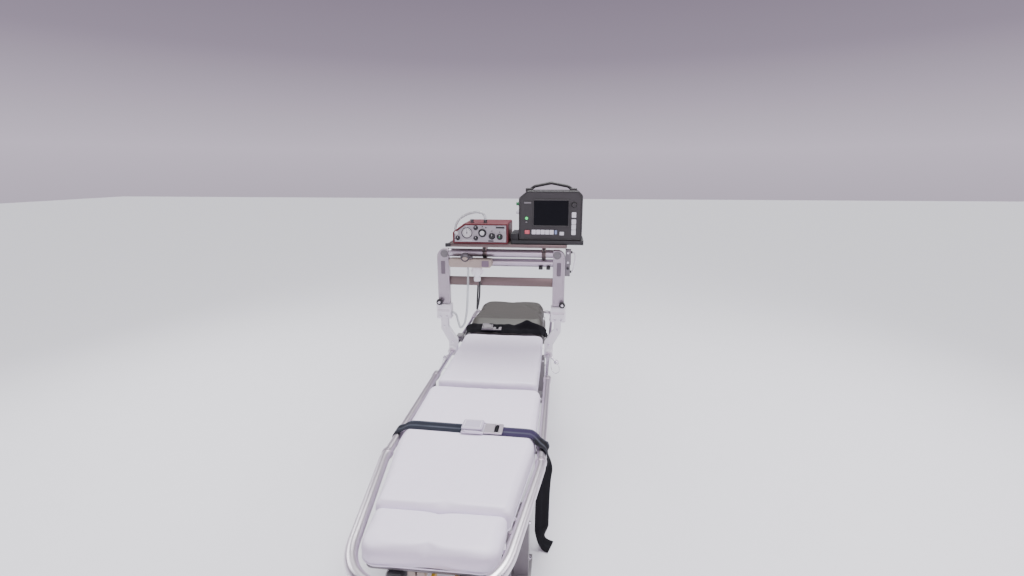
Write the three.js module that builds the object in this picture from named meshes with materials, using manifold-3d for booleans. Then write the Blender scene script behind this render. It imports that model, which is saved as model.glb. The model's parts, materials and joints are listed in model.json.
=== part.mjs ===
import * as THREE from 'three';
import { mergeVertices } from 'three/addons/utils/BufferGeometryUtils.js';
import Module from 'manifold-3d';

const wasm = await Module();
wasm.setup();

// Millimetres. Inside the stretcher x runs across from its centre line, y runs from the foot edge
// of the mattress towards the head, and z is the height above the floor.
const fit = 0.3; // gap between pieces that touch
const overallFoot = -90; // outer edge of the foot loop
const overallHead = 1960; // outer edge of the head tube

// Mattress
const padTop = 362;
const padUnder = 300.6;
const padEdge = 14; // rounding of the pads' edges
const padHalf = 209; // half width of the leg pad where its sides are parallel
const padFootHalf = 150; // half width at the foot edge
const taperEnd = 430; // where the leg pad reaches its full width
const creaseAt = 130; // between foot pad and leg pad
const legPadEnd = 821;
const torsoHalf = 194;
const torsoStart = 840;
const torsoEnd = 1420;
const headPad = {
  start: 1462, end: 1925, half: 196, crown: 402, edge: 18,
  slopeStart: 1475, slopeLow: 376, slopeEnd: 1560, // the near part slopes down towards the torso pad
};

// Litter frame
const railX = 229;
const railZ = 330;
const railRadius = 13.5;
const railStart = 405;
const collar = { radius: 16, length: 30, end: 985 };
const rodX = 224;
const rodRadius = 8;
const rodEnd = 1780;
const loopTube = { radius: 15, rim: 2.5, rimLength: 12, cornerX: 162, bendY: 372, bend: 150 };
const beam = { half: 236, innerHalf: 190, depth: 40, low: 265, high: 295 };
const lug = { width: 14, depth: 34 };
const beamSpots = [ // place along the litter, what the lugs carry and its distance from the centre line
  { name: 'litter_beam_foot', y: 240 },
  { name: 'litter_beam_leg', y: 560, carriedRadius: railRadius, lugX: railX },
  { name: 'litter_beam_seat', y: 920, carriedRadius: railRadius, lugX: railX },
  { name: 'litter_beam_head', y: 1600, carriedRadius: rodRadius, lugX: rodX },
];
const runner = { wall: 5.5, start: 190, end: 1600, low: 240, high: 264.7, play: 0.5 };
const deckLow = beam.high + fit;
const deckThick = 4.5;
const hinge = { y: 1440, pinRadius: 5, pinHole: 5.5, earInner: 200, earThick: 6 };

// Floor base
const baseRail = { x: 150, width: 40, low: 228.3, high: 258.3, start: 150, end: 1660 };
const standSpots = [
  { name: 'base_stand_foot', y: 330 },
  { name: 'base_stand_head', y: 1480 },
];
const stand = { legX: 180, legWidth: 42, legDepth: 46, beamLow: 198, beamHigh: 228, beamHalf: 201 };
const fitting = { width: 56, depth: 120, height: 22 };

// Equipment bridge
const bridgeY = 1295; // middle of the posts
const block = { x: 265, width: 70, depth: 58, low: 480, high: 549, edge: 3 };
const arm = { y: 1280, thick: 30, footHalf: 20, neckX: 262, neckHalf: 17, bend: 14, edge: 3 };
const sleeve = { y: 1268, half: 26, radius: 20 };
const post = { x: 263, width: 54, depth: 32, low: 549.3, high: 808, cornerRadius: 34 };
const topTube = { z: 790, radius: 18 };
const lowTube = { z: 748, radius: 17.5 };
const flatBar = { low: 638, high: 678, thick: 8 };
const tray = { left: -228, right: 296, front: 1225, back: 1445, low: 826, high: 840, sheet: 3 };
const ventilator = { left: -202, right: 41, top: 929, front: 1232, back: 1415, edge: 4 };
const dock = { left: 51, right: 366, front: 1232, back: 1420, high: 858, stepRight: 84, stepHigh: 884 };
const monitor = { left: 86, right: 358, top: 1068, front: 1246, back: 1400, edge: 5 };
const oxygen = { left: -224, right: -33, low: 734, high: 771, front: 1226, edge: 3 };

const finishes = {
  vinyl: { color: 0xcfcdd6, roughness: 0.55, metalness: 0 },
  headVinyl: { color: 0x86837b, roughness: 0.6, metalness: 0 },
  aluminium: { color: 0xc3c4c8, roughness: 0.35, metalness: 1 },
  brushedBar: { color: 0xb0aaa8, roughness: 0.4, metalness: 1 },
  greyFrame: { color: 0x8d8f94, roughness: 0.45, metalness: 0.6 },
  whitePaint: { color: 0xd9d7dc, roughness: 0.4, metalness: 0 },
  webbing: { color: 0x23262f, roughness: 0.85, metalness: 0 },
  chrome: { color: 0xd6d7da, roughness: 0.15, metalness: 1 },
  blackPlastic: { color: 0x1b1c1f, roughness: 0.5, metalness: 0 },
  charcoal: { color: 0x2c2d30, roughness: 0.55, metalness: 0 },
  yellowPaint: { color: 0xe0b52a, roughness: 0.45, metalness: 0 },
  redPlastic: { color: 0x9c1f33, roughness: 0.45, metalness: 0 },
  panelGrey: { color: 0xb9b6ba, roughness: 0.5, metalness: 0 },
  cream: { color: 0xc9c0b2, roughness: 0.55, metalness: 0 },
  clearHose: { color: 0xdfe3e2, roughness: 0.25, metalness: 0 },
};

const toManifold = (geometry) => {
  const bare = geometry.clone();
  bare.deleteAttribute('normal');
  bare.deleteAttribute('uv');
  const merged = mergeVertices(bare, 1e-4);
  return new wasm.Manifold(new wasm.Mesh({
    numProp: 3,
    vertProperties: new Float32Array(merged.attributes.position.array),
    triVerts: new Uint32Array(merged.index.array),
  }));
};

const toGeometry = (manifold) => {
  const mesh = manifold.getMesh();
  const geometry = new THREE.BufferGeometry();
  geometry.setAttribute('position', new THREE.BufferAttribute(new Float32Array(mesh.vertProperties), 3));
  geometry.setIndex(new THREE.BufferAttribute(new Uint32Array(mesh.triVerts), 1));
  return geometry;
};

const join = (...solids) => toGeometry(solids.map(toManifold).reduce((a, b) => a.add(b)));
const cut = (solid, ...tools) => toGeometry(
  tools.map(toManifold).reduce((a, b) => a.subtract(b), toManifold(solid)),
);
const common = (a, b) => toGeometry(toManifold(a).intersect(toManifold(b)));

// A box given by two opposite corners.
const boxBetween = (from, to) => {
  const size = to.map((value, i) => Math.abs(value - from[i]));
  const middle = to.map((value, i) => (value + from[i]) / 2);
  return new THREE.BoxGeometry(...size).translate(...middle);
};

// A cylinder from one point to another.
const bar = (from, to, radius, facets = 20) => {
  const start = new THREE.Vector3(...from);
  const run = new THREE.Vector3(...to).sub(start);
  const cylinder = new THREE.CylinderGeometry(radius, radius, run.length(), facets);
  const up = new THREE.Vector3(0, 1, 0);
  const turn = new THREE.Quaternion().setFromUnitVectors(up, run.clone().normalize());
  return cylinder.applyQuaternion(turn).translate(...start.addScaledVector(run, 0.5).toArray());
};

// A closed outline through corners [x, y, radius], drawn anticlockwise, each rounded by its own arc.
const roundedOutline = (corners) => {
  const shape = new THREE.Shape();
  const at = (i) => new THREE.Vector2(...corners[(i + corners.length) % corners.length].slice(0, 2));
  corners.forEach(([x, y, radius = 0], i) => {
    if (radius === 0) {
      if (i === 0) shape.moveTo(x, y);
      else shape.lineTo(x, y);
      return;
    }
    const here = new THREE.Vector2(x, y);
    const before = at(i - 1).sub(here).normalize();
    const after = at(i + 1).sub(here).normalize();
    const half = Math.acos(THREE.MathUtils.clamp(before.dot(after), -1, 1)) / 2;
    const reach = radius / Math.tan(half);
    const bisector = before.clone().add(after).normalize();
    const centre = here.clone().addScaledVector(bisector, radius / Math.sin(half));
    const start = here.clone().addScaledVector(before, reach).sub(centre);
    const end = here.clone().addScaledVector(after, reach).sub(centre);
    shape.absarc(centre.x, centre.y, radius, start.angle(), end.angle(), before.cross(after) > 0);
  });
  shape.closePath();
  return shape;
};

// An outline raised along z from low to high, with the edges of both faces rounded.
// A corner's radius is either 0 or larger than the rounding of the edges.
const slab = (corners, low, high, edge = 0, curveSegments = 3) => new THREE.ExtrudeGeometry(
  roundedOutline(corners),
  {
    depth: high - low - 2 * edge,
    bevelEnabled: edge > 0,
    bevelThickness: edge,
    bevelSize: edge,
    bevelOffset: -edge,
    bevelSegments: 3,
    curveSegments,
  },
).translate(0, 0, low + edge);

// An outline drawn in x and z, carried along y from front to back.
const upright = (corners, front, back, edge = 0, curveSegments = 3) => (
  slab(corners, -back, -front, edge, curveSegments).rotateX(Math.PI / 2)
);

// An outline drawn in y and z, carried along x from left to right.
const sideways = (corners, left, right, edge = 0, curveSegments = 3) => (
  slab(corners, left, right, edge, curveSegments).rotateX(Math.PI / 2).rotateZ(Math.PI / 2)
);

// A closed outline from the corners of its right half, listed upwards.
const mirrored = (rightHalf) => [
  ...rightHalf,
  ...rightHalf.toReversed().map(([x, y, radius]) => [-x, y, radius]),
];

// The corners of a rectangle that share one radius.
const rectangle = (left, right, low, high, radius = 0) => [
  [left, low, radius], [right, low, radius], [right, high, radius], [left, high, radius],
];

// An outline of the right side, turned into its mirror image for the left side.
const onSide = (sign, corners) => (
  sign > 0 ? corners : corners.toReversed().map(([x, y, radius]) => [-x, y, radius])
);

// The outline of a band of even thickness that lies on a line of points, listed from left to right.
const bandOutline = (line, thick) => {
  const spots = line.map(([x, y]) => new THREE.Vector2(x, y));
  const normal = (i) => {
    const k = THREE.MathUtils.clamp(i, 0, spots.length - 2);
    const run = spots[k + 1].clone().sub(spots[k]).normalize();
    return new THREE.Vector2(-run.y, run.x);
  };
  const outer = spots.map((spot, i) => {
    const middle = normal(i - 1).add(normal(i)).normalize();
    return spot.clone().addScaledVector(middle, thick / middle.dot(normal(i)));
  });
  return [...line, ...outer.toReversed().map((spot) => [spot.x, spot.y])];
};

// The whole line of a strap from the points of its right half, listed from the outer end inwards.
const strapLine = (rightHalf) => [
  ...rightHalf.map(([x, y]) => [-x, y]),
  ...rightHalf.toReversed(),
];

// A path of straight runs whose corners are rounded by one radius.
const bentPath = (points, radius) => {
  const path = new THREE.CurvePath();
  const spots = points.map((p) => new THREE.Vector3(...p));
  let from = spots[0];
  for (let i = 1; i < spots.length - 1; i += 1) {
    const before = spots[i - 1].clone().sub(spots[i]).normalize();
    const after = spots[i + 1].clone().sub(spots[i]).normalize();
    const reach = radius / Math.tan(before.angleTo(after) / 2);
    const start = spots[i].clone().addScaledVector(before, reach);
    const end = spots[i].clone().addScaledVector(after, reach);
    path.add(new THREE.LineCurve3(from, start));
    path.add(new THREE.QuadraticBezierCurve3(start, spots[i], end));
    from = end;
  }
  path.add(new THREE.LineCurve3(from, spots[spots.length - 1]));
  return path;
};

const circleShape = (radius, facets) => {
  const shape = new THREE.Shape();
  for (let i = 0; i < facets; i += 1) {
    const angle = (i / facets) * 2 * Math.PI;
    const point = [radius * Math.cos(angle), radius * Math.sin(angle)];
    if (i === 0) shape.moveTo(...point);
    else shape.lineTo(...point);
  }
  shape.closePath();
  return shape;
};

const tube = (path, radius, steps, facets = 12) => new THREE.ExtrudeGeometry(
  circleShape(radius, facets),
  { extrudePath: path, steps, bevelEnabled: false },
);

const smoothPath = (points) => new THREE.CatmullRomCurve3(points.map((p) => new THREE.Vector3(...p)));

const piece = (group, name, geometry, finish) => {
  const mesh = new THREE.Mesh(geometry, new THREE.MeshStandardMaterial(finishes[finish]));
  mesh.name = name;
  group.add(mesh);
};

const sides = [{ word: 'left', sign: -1 }, { word: 'right', sign: 1 }];

// The floor base: two stands with floor fittings carry two rails.
const makeStand = (y) => {
  const front = y - stand.legDepth / 2;
  const back = y + stand.legDepth / 2;
  const solids = [
    boxBetween([-stand.beamHalf, front, stand.beamLow], [stand.beamHalf, back, stand.beamHigh]),
  ];
  for (const { sign } of sides) {
    const x = sign * stand.legX;
    const leg = stand.legWidth / 2;
    const foot = fitting.width / 2;
    solids.push(
      boxBetween([x - leg, front, fitting.height - 1], [x + leg, back, stand.beamLow + 1]),
      boxBetween([x - foot, y - fitting.depth / 2, 0], [x + foot, y + fitting.depth / 2, fitting.height]),
    );
  }
  return join(...solids);
};

const makeBase = () => {
  const base = new THREE.Group();
  for (const { name, y } of standSpots) piece(base, name, makeStand(y), 'greyFrame');
  for (const { word, sign } of sides) {
    const inner = sign * (baseRail.x - baseRail.width / 2);
    const outer = sign * (baseRail.x + baseRail.width / 2);
    const rail = boxBetween([inner, baseRail.start, baseRail.low], [outer, baseRail.end, baseRail.high]);
    piece(base, `base_rail_${word}`, rail, 'aluminium');
  }
  return base;
};

// The litter's runners hug the base rails from above and from both sides.
const makeRunner = (sign) => {
  const inner = baseRail.width / 2 + runner.play;
  const outer = inner + runner.wall;
  const under = baseRail.high + runner.play;
  const profile = [
    [-outer, runner.low], [-inner, runner.low], [-inner, under], [inner, under],
    [inner, runner.low], [outer, runner.low], [outer, runner.high], [-outer, runner.high],
  ].map(([x, z]) => [x + sign * baseRail.x, z]);
  return upright(profile, runner.start, runner.end);
};

const makeBeam = ({ y, carriedRadius, lugX }) => {
  const half = lugX ? beam.half : beam.innerHalf;
  const bars = [boxBetween([-half, y - beam.depth / 2, beam.low], [half, y + beam.depth / 2, beam.high])];
  if (!lugX) return bars[0];
  for (const { sign } of sides) {
    const x = sign * lugX;
    bars.push(boxBetween(
      [x - lug.width / 2, y - lug.depth / 2, beam.high - 1],
      [x + lug.width / 2, y + lug.depth / 2, railZ - carriedRadius - fit],
    ));
  }
  return join(...bars);
};

// A bracket grips the slide rod and holds the pin on which the headrest turns.
const makeHingeBracket = (sign) => {
  const bracket = { inner: 212, outer: 241, halfDepth: 20, halfHeight: 17 };
  const solid = boxBetween(
    [sign * bracket.inner, hinge.y - bracket.halfDepth, railZ - bracket.halfHeight],
    [sign * bracket.outer, hinge.y + bracket.halfDepth, railZ + bracket.halfHeight],
  );
  const pinEnd = hinge.earInner - 2;
  const pin = bar([sign * pinEnd, hinge.y, railZ], [sign * (rodX - 2), hinge.y, railZ], hinge.pinRadius);
  const bore = bar(
    [sign * rodX, hinge.y - 2 * bracket.halfDepth, railZ],
    [sign * rodX, hinge.y + 2 * bracket.halfDepth, railZ],
    rodRadius + fit,
    24,
  );
  return cut(join(solid, pin), bore);
};

const makeFootLoop = () => {
  const footLine = overallFoot + loopTube.radius;
  const rightHalf = [
    [loopTube.cornerX, footLine, railZ], [railX, loopTube.bendY, railZ], [railX, railStart, railZ],
  ];
  const leftHalf = rightHalf.toReversed().map(([x, y, z]) => [-x, y, z]);
  const rims = sides.map(({ sign }) => bar(
    [sign * railX, railStart - loopTube.rimLength, railZ],
    [sign * railX, railStart, railZ],
    loopTube.radius + loopTube.rim,
  ));
  return join(tube(bentPath([...leftHalf, ...rightHalf], loopTube.bend), loopTube.radius, 40), ...rims);
};

const makeHeadTube = () => {
  const radius = rodRadius + 3;
  const headLine = overallHead - radius;
  return tube(bentPath([
    [-rodX, rodEnd + fit, railZ], [-rodX, headLine, railZ],
    [rodX, headLine, railZ], [rodX, rodEnd + fit, railZ],
  ], 80), radius, 28, 10);
};

// Half width of the mattress at y, as its foot end narrows.
const halfWidthAt = (y) => (
  padFootHalf + (padHalf - padFootHalf) * THREE.MathUtils.clamp(y / taperEnd, 0, 1)
);

const makeDecks = (litter) => {
  const inset = 8; // how far the decks stay inside the pads
  const footCorner = 20;
  const footEdge = 12;
  const deckHigh = deckLow + deckThick;
  piece(litter, 'leg_deck', slab(mirrored([
    [halfWidthAt(footEdge) - inset, footEdge, footCorner],
    [padHalf - inset, taperEnd],
    [padHalf - inset, legPadEnd - inset],
  ]), deckLow, deckHigh), 'greyFrame');
  piece(litter, 'torso_deck', boxBetween(
    [-torsoHalf + inset, torsoStart + inset, deckLow],
    [torsoHalf - inset, torsoEnd - inset, deckHigh],
  ), 'greyFrame');
};

const makeFixedPads = (litter) => {
  const creaseGap = 4;
  const fixedPads = [ // the right half of each outline is listed from foot to head as [x, y, radius]
    {
      name: 'foot_pad',
      top: padTop - 4,
      rightHalf: [
        [padFootHalf + 5, 0, 45], [halfWidthAt(creaseAt) - creaseGap, creaseAt - creaseGap, 16],
      ],
    },
    {
      name: 'leg_pad',
      top: padTop,
      rightHalf: [
        [halfWidthAt(creaseAt), creaseAt, 20], [padHalf, taperEnd], [padHalf, legPadEnd, 25],
      ],
    },
    {
      name: 'torso_pad',
      top: padTop,
      rightHalf: [[torsoHalf, torsoStart, 22], [torsoHalf, torsoEnd, 30]],
    },
  ];
  for (const { name, top, rightHalf } of fixedPads) {
    piece(litter, name, slab(mirrored(rightHalf), padUnder, top, padEdge), 'vinyl');
  }
};

// The leg strap lies over the pad and both rails, its spare end hangs down at the right.
const makeLegStrap = (litter) => {
  const strap = { y: 495, width: 52, thick: 3 };
  const lie = padTop + 0.6;
  const outside = railX + railRadius + 1;
  const over = railZ + railRadius + 1;
  const legEnd = railZ - 16;
  const line = strapLine([
    [outside, legEnd], [outside, over - 8], [outside - 8, over], [railX - 6, over + 2],
    [padHalf - padEdge + 5, lie],
  ]);
  const half = strap.width / 2;
  piece(litter, 'leg_strap', upright(
    bandOutline(line, strap.thick),
    strap.y - half,
    strap.y + half,
  ), 'webbing');

  // The spare end turns towards the foot end as it hangs, and lies folded to the right on the floor.
  const tail = { x: 214, y: 441, run: 34, fold: 26, foldLow: 2, foldHigh: 6 };
  const turned = strap.thick * Math.SQRT1_2;
  const tailPlan = (out) => [ // a band at 45 degrees, out mm thick along each axis
    [tail.x, tail.y], [tail.x + out, tail.y - out],
    [tail.x + tail.run + out, tail.y + tail.run - out], [tail.x + tail.run, tail.y + tail.run],
  ];
  piece(litter, 'leg_strap_tail', join(
    slab(tailPlan(turned), tail.foldHigh - 1, legEnd - fit),
    slab(tailPlan(tail.fold), tail.foldLow, tail.foldHigh),
  ), 'webbing');

  const buckleLow = lie + strap.thick + fit;
  const buckle = { left: -22, right: 48, front: 463, back: 527, high: 20, corner: 6, edge: 3 };
  piece(litter, 'leg_buckle', slab(
    rectangle(buckle.left, buckle.right, buckle.front, buckle.back, buckle.corner),
    buckleLow,
    buckleLow + buckle.high,
    buckle.edge,
  ), 'chrome');
  const tongue = { right: 106, front: 468, back: 522, thick: 5, corner: 6 };
  const slot = { left: 82, right: 93, front: 475, back: 515 };
  piece(litter, 'leg_buckle_tongue', cut(
    slab(
      rectangle(buckle.right + fit, tongue.right, tongue.front, tongue.back, tongue.corner),
      buckleLow,
      buckleLow + tongue.thick,
    ),
    boxBetween(
      [slot.left, slot.front, buckleLow - 1],
      [slot.right, slot.back, buckleLow + tongue.thick + 1],
    ),
  ), 'chrome');
};

// What shows below the foot edge of the mattress: the release handle, two brackets and a side lever.
const makeFootFittings = (litter) => {
  const handle = { y: -14, z: 283, radius: 8, half: 26, shift: 38, armHalf: 5 };
  const armEnd = 240 - beam.depth / 2 - 2 * fit;
  const gripLeft = handle.shift - handle.half;
  const gripRight = handle.shift + handle.half;
  piece(litter, 'release_handle', join(
    bar([gripLeft, handle.y, handle.z], [gripRight, handle.y, handle.z], handle.radius, 14),
    ...[gripLeft, gripRight].map((x) => boxBetween(
      [x - handle.armHalf, handle.y - handle.radius, handle.z - 10],
      [x + handle.armHalf, armEnd, handle.z + 10],
    )),
  ), 'yellowPaint');

  const bracket = { half: 17, front: 3, back: 60, low: 262 };
  const bracketSpots = [{ word: 'left', x: -72 }, { word: 'right', x: 88 }];
  for (const { word, x } of bracketSpots) {
    piece(litter, `foot_bracket_${word}`, boxBetween(
      [x - bracket.half, bracket.front, bracket.low],
      [x + bracket.half, bracket.back, deckLow - fit],
    ), 'blackPlastic');
  }

  const lever = { y: 30, thick: 8, width: 15, low: 268, high: 290, reach: 152 };
  const leverStart = bracketSpots[1].x + bracket.half + fit;
  piece(litter, 'side_lever', upright([
    [leverStart, lever.low - lever.width / 2, 0], [leverStart + 6, lever.low - lever.width / 2, 0],
    [lever.reach, lever.high - lever.width, 6], [lever.reach, lever.high, 6],
    [lever.reach - 12, lever.high, 0], [leverStart, lever.low + lever.width / 2, 0],
  ], lever.y - lever.thick / 2, lever.y + lever.thick / 2), 'yellowPaint');
};

// The litter: runners, beams, rails, foot loop, head tube, decks, the fixed pads and their strap.
const makeLitter = () => {
  const litter = new THREE.Group();
  for (const spot of beamSpots) piece(litter, spot.name, makeBeam(spot), 'greyFrame');
  for (const { word, sign } of sides) {
    const x = sign * railX;
    piece(litter, `litter_runner_${word}`, makeRunner(sign), 'aluminium');
    piece(litter, `side_rail_${word}`, join(
      bar([x, railStart + fit, railZ], [x, collar.end, railZ], railRadius),
      bar([x, collar.end - collar.length, railZ], [x, collar.end, railZ], collar.radius),
    ), 'aluminium');
    const rod = bar([sign * rodX, collar.end + fit, railZ], [sign * rodX, rodEnd, railZ], rodRadius, 24);
    piece(litter, `slide_rod_${word}`, rod, 'chrome');
    piece(litter, `hinge_bracket_${word}`, makeHingeBracket(sign), 'greyFrame');
  }
  piece(litter, 'foot_loop', makeFootLoop(), 'aluminium');
  piece(litter, 'head_tube', makeHeadTube(), 'aluminium');
  makeDecks(litter);
  makeFixedPads(litter);
  makeLegStrap(litter);
  makeFootFittings(litter);
  return litter;
};

// The headrest: a deck on two hinge ears, its thick pad and a strap with its buckle.
const makeHeadrest = () => {
  const headrest = new THREE.Group();
  const low = 300.3;
  const thick = 4;
  const ear = { front: 14, top: railZ + 14, end: headPad.start + 60, corner: 12 };
  const ears = sides.map(({ sign }) => {
    const inner = sign * hinge.earInner;
    const outer = sign * (hinge.earInner + hinge.earThick);
    return sideways([
      [hinge.y - ear.front, low + 16, 8], [ear.end, low], [ear.end, low + 12],
      [hinge.y + ear.front, ear.top, ear.corner], [hinge.y - ear.front, ear.top, ear.corner],
    ], Math.min(inner, outer), Math.max(inner, outer));
  });
  const earSeat = hinge.earInner + 2; // the deck's near part reaches into the ears
  const plate = slab(mirrored([
    [earSeat, headPad.start + 4], [earSeat, ear.end + 6],
    [headPad.half - 6, headPad.end - 90, 20], [165, headPad.end - 12, 50],
  ]), low, low + thick);
  const pinHoles = bar([-beam.half, hinge.y, railZ], [beam.half, hinge.y, railZ], hinge.pinHole);
  piece(headrest, 'headrest_deck', cut(join(plate, ...ears), pinHoles), 'greyFrame');

  const under = low + thick + fit;
  const plan = slab(mirrored([
    [headPad.half, headPad.start, 26], [headPad.half - 8, headPad.end - 90, 30], [160, headPad.end, 55],
  ]), under, headPad.crown, headPad.edge);
  const profile = sideways([
    [headPad.start, under], [headPad.end, under], [headPad.end, headPad.crown - 6, 20],
    [headPad.end - 50, headPad.crown, 60], [headPad.slopeEnd, headPad.crown, 60],
    [headPad.slopeStart, headPad.slopeLow, 10], [headPad.start, headPad.slopeLow - 12, 8],
  ], -headPad.half - 1, headPad.half + 1);
  piece(headrest, 'head_pad', common(plan, profile), 'headVinyl');

  const slope = Math.atan2(headPad.crown - headPad.slopeLow, headPad.slopeEnd - headPad.slopeStart);
  const strap = { y: 1508, half: 25, thick: 3, x: headPad.half + 1.2, side: 33, lift: 0.9 };
  const strapZ = headPad.slopeLow + (strap.y - headPad.slopeStart) * Math.tan(slope) + strap.lift;
  const laidOnSlope = (geometry) => geometry.rotateX(slope).translate(0, strap.y, strapZ);
  const line = strapLine([[strap.x, -strap.side], [strap.x, 0]]);
  const band = upright(bandOutline(line, strap.thick), -strap.half, strap.half);
  piece(headrest, 'head_strap', laidOnSlope(band), 'webbing');
  const buckle = { left: -120, right: -62, halfDepth: 27, high: 16, corner: 6, edge: 3, tongueRight: -20 };
  const buckleLow = strap.thick + fit;
  piece(headrest, 'head_buckle', laidOnSlope(join(
    slab(
      rectangle(buckle.left, buckle.right, -buckle.halfDepth, buckle.halfDepth, buckle.corner),
      buckleLow,
      buckleLow + buckle.high,
      buckle.edge,
    ),
    boxBetween([buckle.right - 4, -strap.half, buckleLow], [buckle.tongueRight, strap.half, buckleLow + 4]),
  )), 'chrome');
  return headrest;
};

// One arm of the bridge: a sleeve that slides on the rod, a flat cranked neck and a clamp block.
const makeArm = (sign) => {
  const foot = [rodX - arm.footHalf, rodX + arm.footHalf];
  const neck = [arm.neckX - arm.neckHalf, arm.neckX + arm.neckHalf];
  const crankLow = 370;
  const crankHigh = 434;
  const width = 10; // how much higher the crank starts on its inner side
  const casting = upright(onSide(sign, [
    [foot[0], railZ], [foot[1], railZ], [foot[1], crankLow, arm.bend], [neck[1], crankHigh, arm.bend],
    [neck[1], block.low + 2 * arm.edge], [neck[0], block.low + 2 * arm.edge],
    [neck[0], crankHigh + width, arm.bend], [foot[0], crankLow + width, arm.bend],
  ]), arm.y - arm.thick / 2, arm.y + arm.thick / 2, arm.edge);
  const clamp = slab(
    rectangle(
      sign * block.x - block.width / 2,
      sign * block.x + block.width / 2,
      bridgeY - block.depth / 2,
      bridgeY + block.depth / 2,
      9,
    ),
    block.low,
    block.high,
    block.edge,
  );
  const rodLine = (half) => [[sign * rodX, sleeve.y - half, railZ], [sign * rodX, sleeve.y + half, railZ]];
  const grip = bar(...rodLine(sleeve.half), sleeve.radius, 28);
  const bore = bar(...rodLine(2 * sleeve.half), rodRadius + 0.5, 24);
  return cut(join(casting, clamp, grip), bore);
};

// A bridge post: a flat upright whose outer top corner is rounded, with a slot and an end plug.
const makePost = (sign) => {
  const inner = post.x - post.width / 2;
  const outer = post.x + post.width / 2;
  const front = bridgeY - post.depth / 2;
  const body = upright(onSide(sign, [
    [inner, post.low], [outer, post.low], [outer, post.high, post.cornerRadius], [inner, post.high],
  ]), front, bridgeY + post.depth / 2);
  const slot = { half: 11, low: 690, high: 754, deep: 3 };
  const recess = boxBetween(
    [sign * post.x - slot.half, front - 1, slot.low],
    [sign * post.x + slot.half, front + slot.deep, slot.high],
  );
  const plug = { x: sign * 255, z: topTube.z - 4, out: 3 };
  const disc = bar([plug.x, front - plug.out, plug.z], [plug.x, front + 1, plug.z], topTube.radius);
  return join(cut(body, recess), disc);
};

const makeGrips = (bridge) => {
  const knob = { x: 281, z: 563, stem: 5, radius: 14, neck: 12, length: 26 };
  const pin = { y: 1252, shaft: 4, head: 10, shaftEnd: 48, headStart: 45, headEnd: 57 };
  const outward = Math.SQRT1_2; // the pins point outwards and down by 45 degrees
  for (const { word, sign } of sides) {
    const knobY = bridgeY - post.depth / 2 - fit;
    const knobAt = (out) => [sign * knob.x, knobY - out, knob.z];
    piece(bridge, `clamp_knob_${word}`, join(
      bar(knobAt(0), knobAt(knob.neck), knob.stem),
      bar(knobAt(knob.neck - 2), knobAt(knob.length), knob.radius),
    ), 'blackPlastic');
    const pinAt = (reach) => [sign * (rodX + reach * outward), pin.y, railZ - reach * outward];
    piece(bridge, `locking_pin_${word}`, join(
      bar(pinAt(sleeve.radius + fit), pinAt(pin.shaftEnd), pin.shaft),
      bar(pinAt(pin.headStart), pinAt(pin.headEnd), pin.head),
    ), 'chrome');
  }
};

const makeCrossBars = (bridge) => {
  const reach = post.x - post.width / 2 - fit;
  const across = (z, radius) => bar([-reach, bridgeY, z], [reach, bridgeY, z], radius, 24);
  piece(bridge, 'top_tube', across(topTube.z, topTube.radius), 'aluminium');
  piece(bridge, 'low_tube', across(lowTube.z, lowTube.radius), 'whitePaint');
  piece(bridge, 'flat_bar', boxBetween(
    [-reach, bridgeY, flatBar.low],
    [reach, bridgeY + flatBar.thick, flatBar.high],
  ), 'brushedBar');
};

// A folded tray that two clamps hold on the top tube.
const makeTray = () => {
  const outer = slab(rectangle(tray.left, tray.right, tray.front, tray.back, 8), tray.low, tray.high);
  const hollow = boxBetween(
    [tray.left + tray.sheet, tray.front + tray.sheet, tray.low - 1],
    [tray.right - tray.sheet, tray.back - tray.sheet, tray.high - tray.sheet],
  );
  const clamp = { half: 9, wall: 6, depth: 24 };
  const clamps = [-70, 195].map((x) => {
    const along = (half) => [[x - half, bridgeY, topTube.z], [x + half, bridgeY, topTube.z]];
    const ring = bar(...along(clamp.half), topTube.radius + clamp.wall, 24);
    const pad = boxBetween(
      [x - clamp.half, bridgeY - clamp.depth, topTube.z + 14],
      [x + clamp.half, bridgeY + clamp.depth, tray.high - tray.sheet / 2],
    );
    return cut(join(ring, pad), bar(...along(2 * clamp.half), topTube.radius + fit, 24));
  });
  return join(cut(outer, hollow), ...clamps);
};

// The ventilator: a red case with one corner cut, and a grey panel with its gauge and knobs.
const makeVentilator = (bridge) => {
  const stood = tray.high + fit;
  const { left, right, top, front, back, edge } = ventilator;
  piece(bridge, 'ventilator_case', upright([
    [left, stood, 8], [right, stood, 8], [right, top, 8], [left + 52, top, 10], [left, top - 38, 10],
  ], front, back, edge), 'redPlastic');
  const rim = 8;
  const panelBack = front - fit;
  const panelFront = panelBack - 4;
  const controls = [
    { x: -139, z: 888, radius: 24, out: 3 },
    { x: -186, z: 887, radius: 7, out: 4 },
    { x: -180, z: 865, radius: 9, out: 9 },
    { x: -100, z: 910, radius: 9, out: 9 },
    { x: -100, z: 865, radius: 9, out: 9 },
    { x: -71, z: 888, radius: 17, out: 8 },
    { x: -29, z: 874, radius: 13, out: 12 },
    { x: 5, z: 872, radius: 12, out: 12 },
  ];
  piece(bridge, 'ventilator_panel', join(
    upright([
      [left + rim, stood + rim], [right - rim, stood + rim], [right - rim, top - rim],
      [left + 56, top - rim], [left + rim, top - 43],
    ], panelFront, panelBack),
    ...controls.map(({ x, z, radius, out }) => (
      bar([x, panelFront + 1, z], [x, panelFront - out, z], radius, 16)
    )),
  ), 'panelGrey');
};

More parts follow.
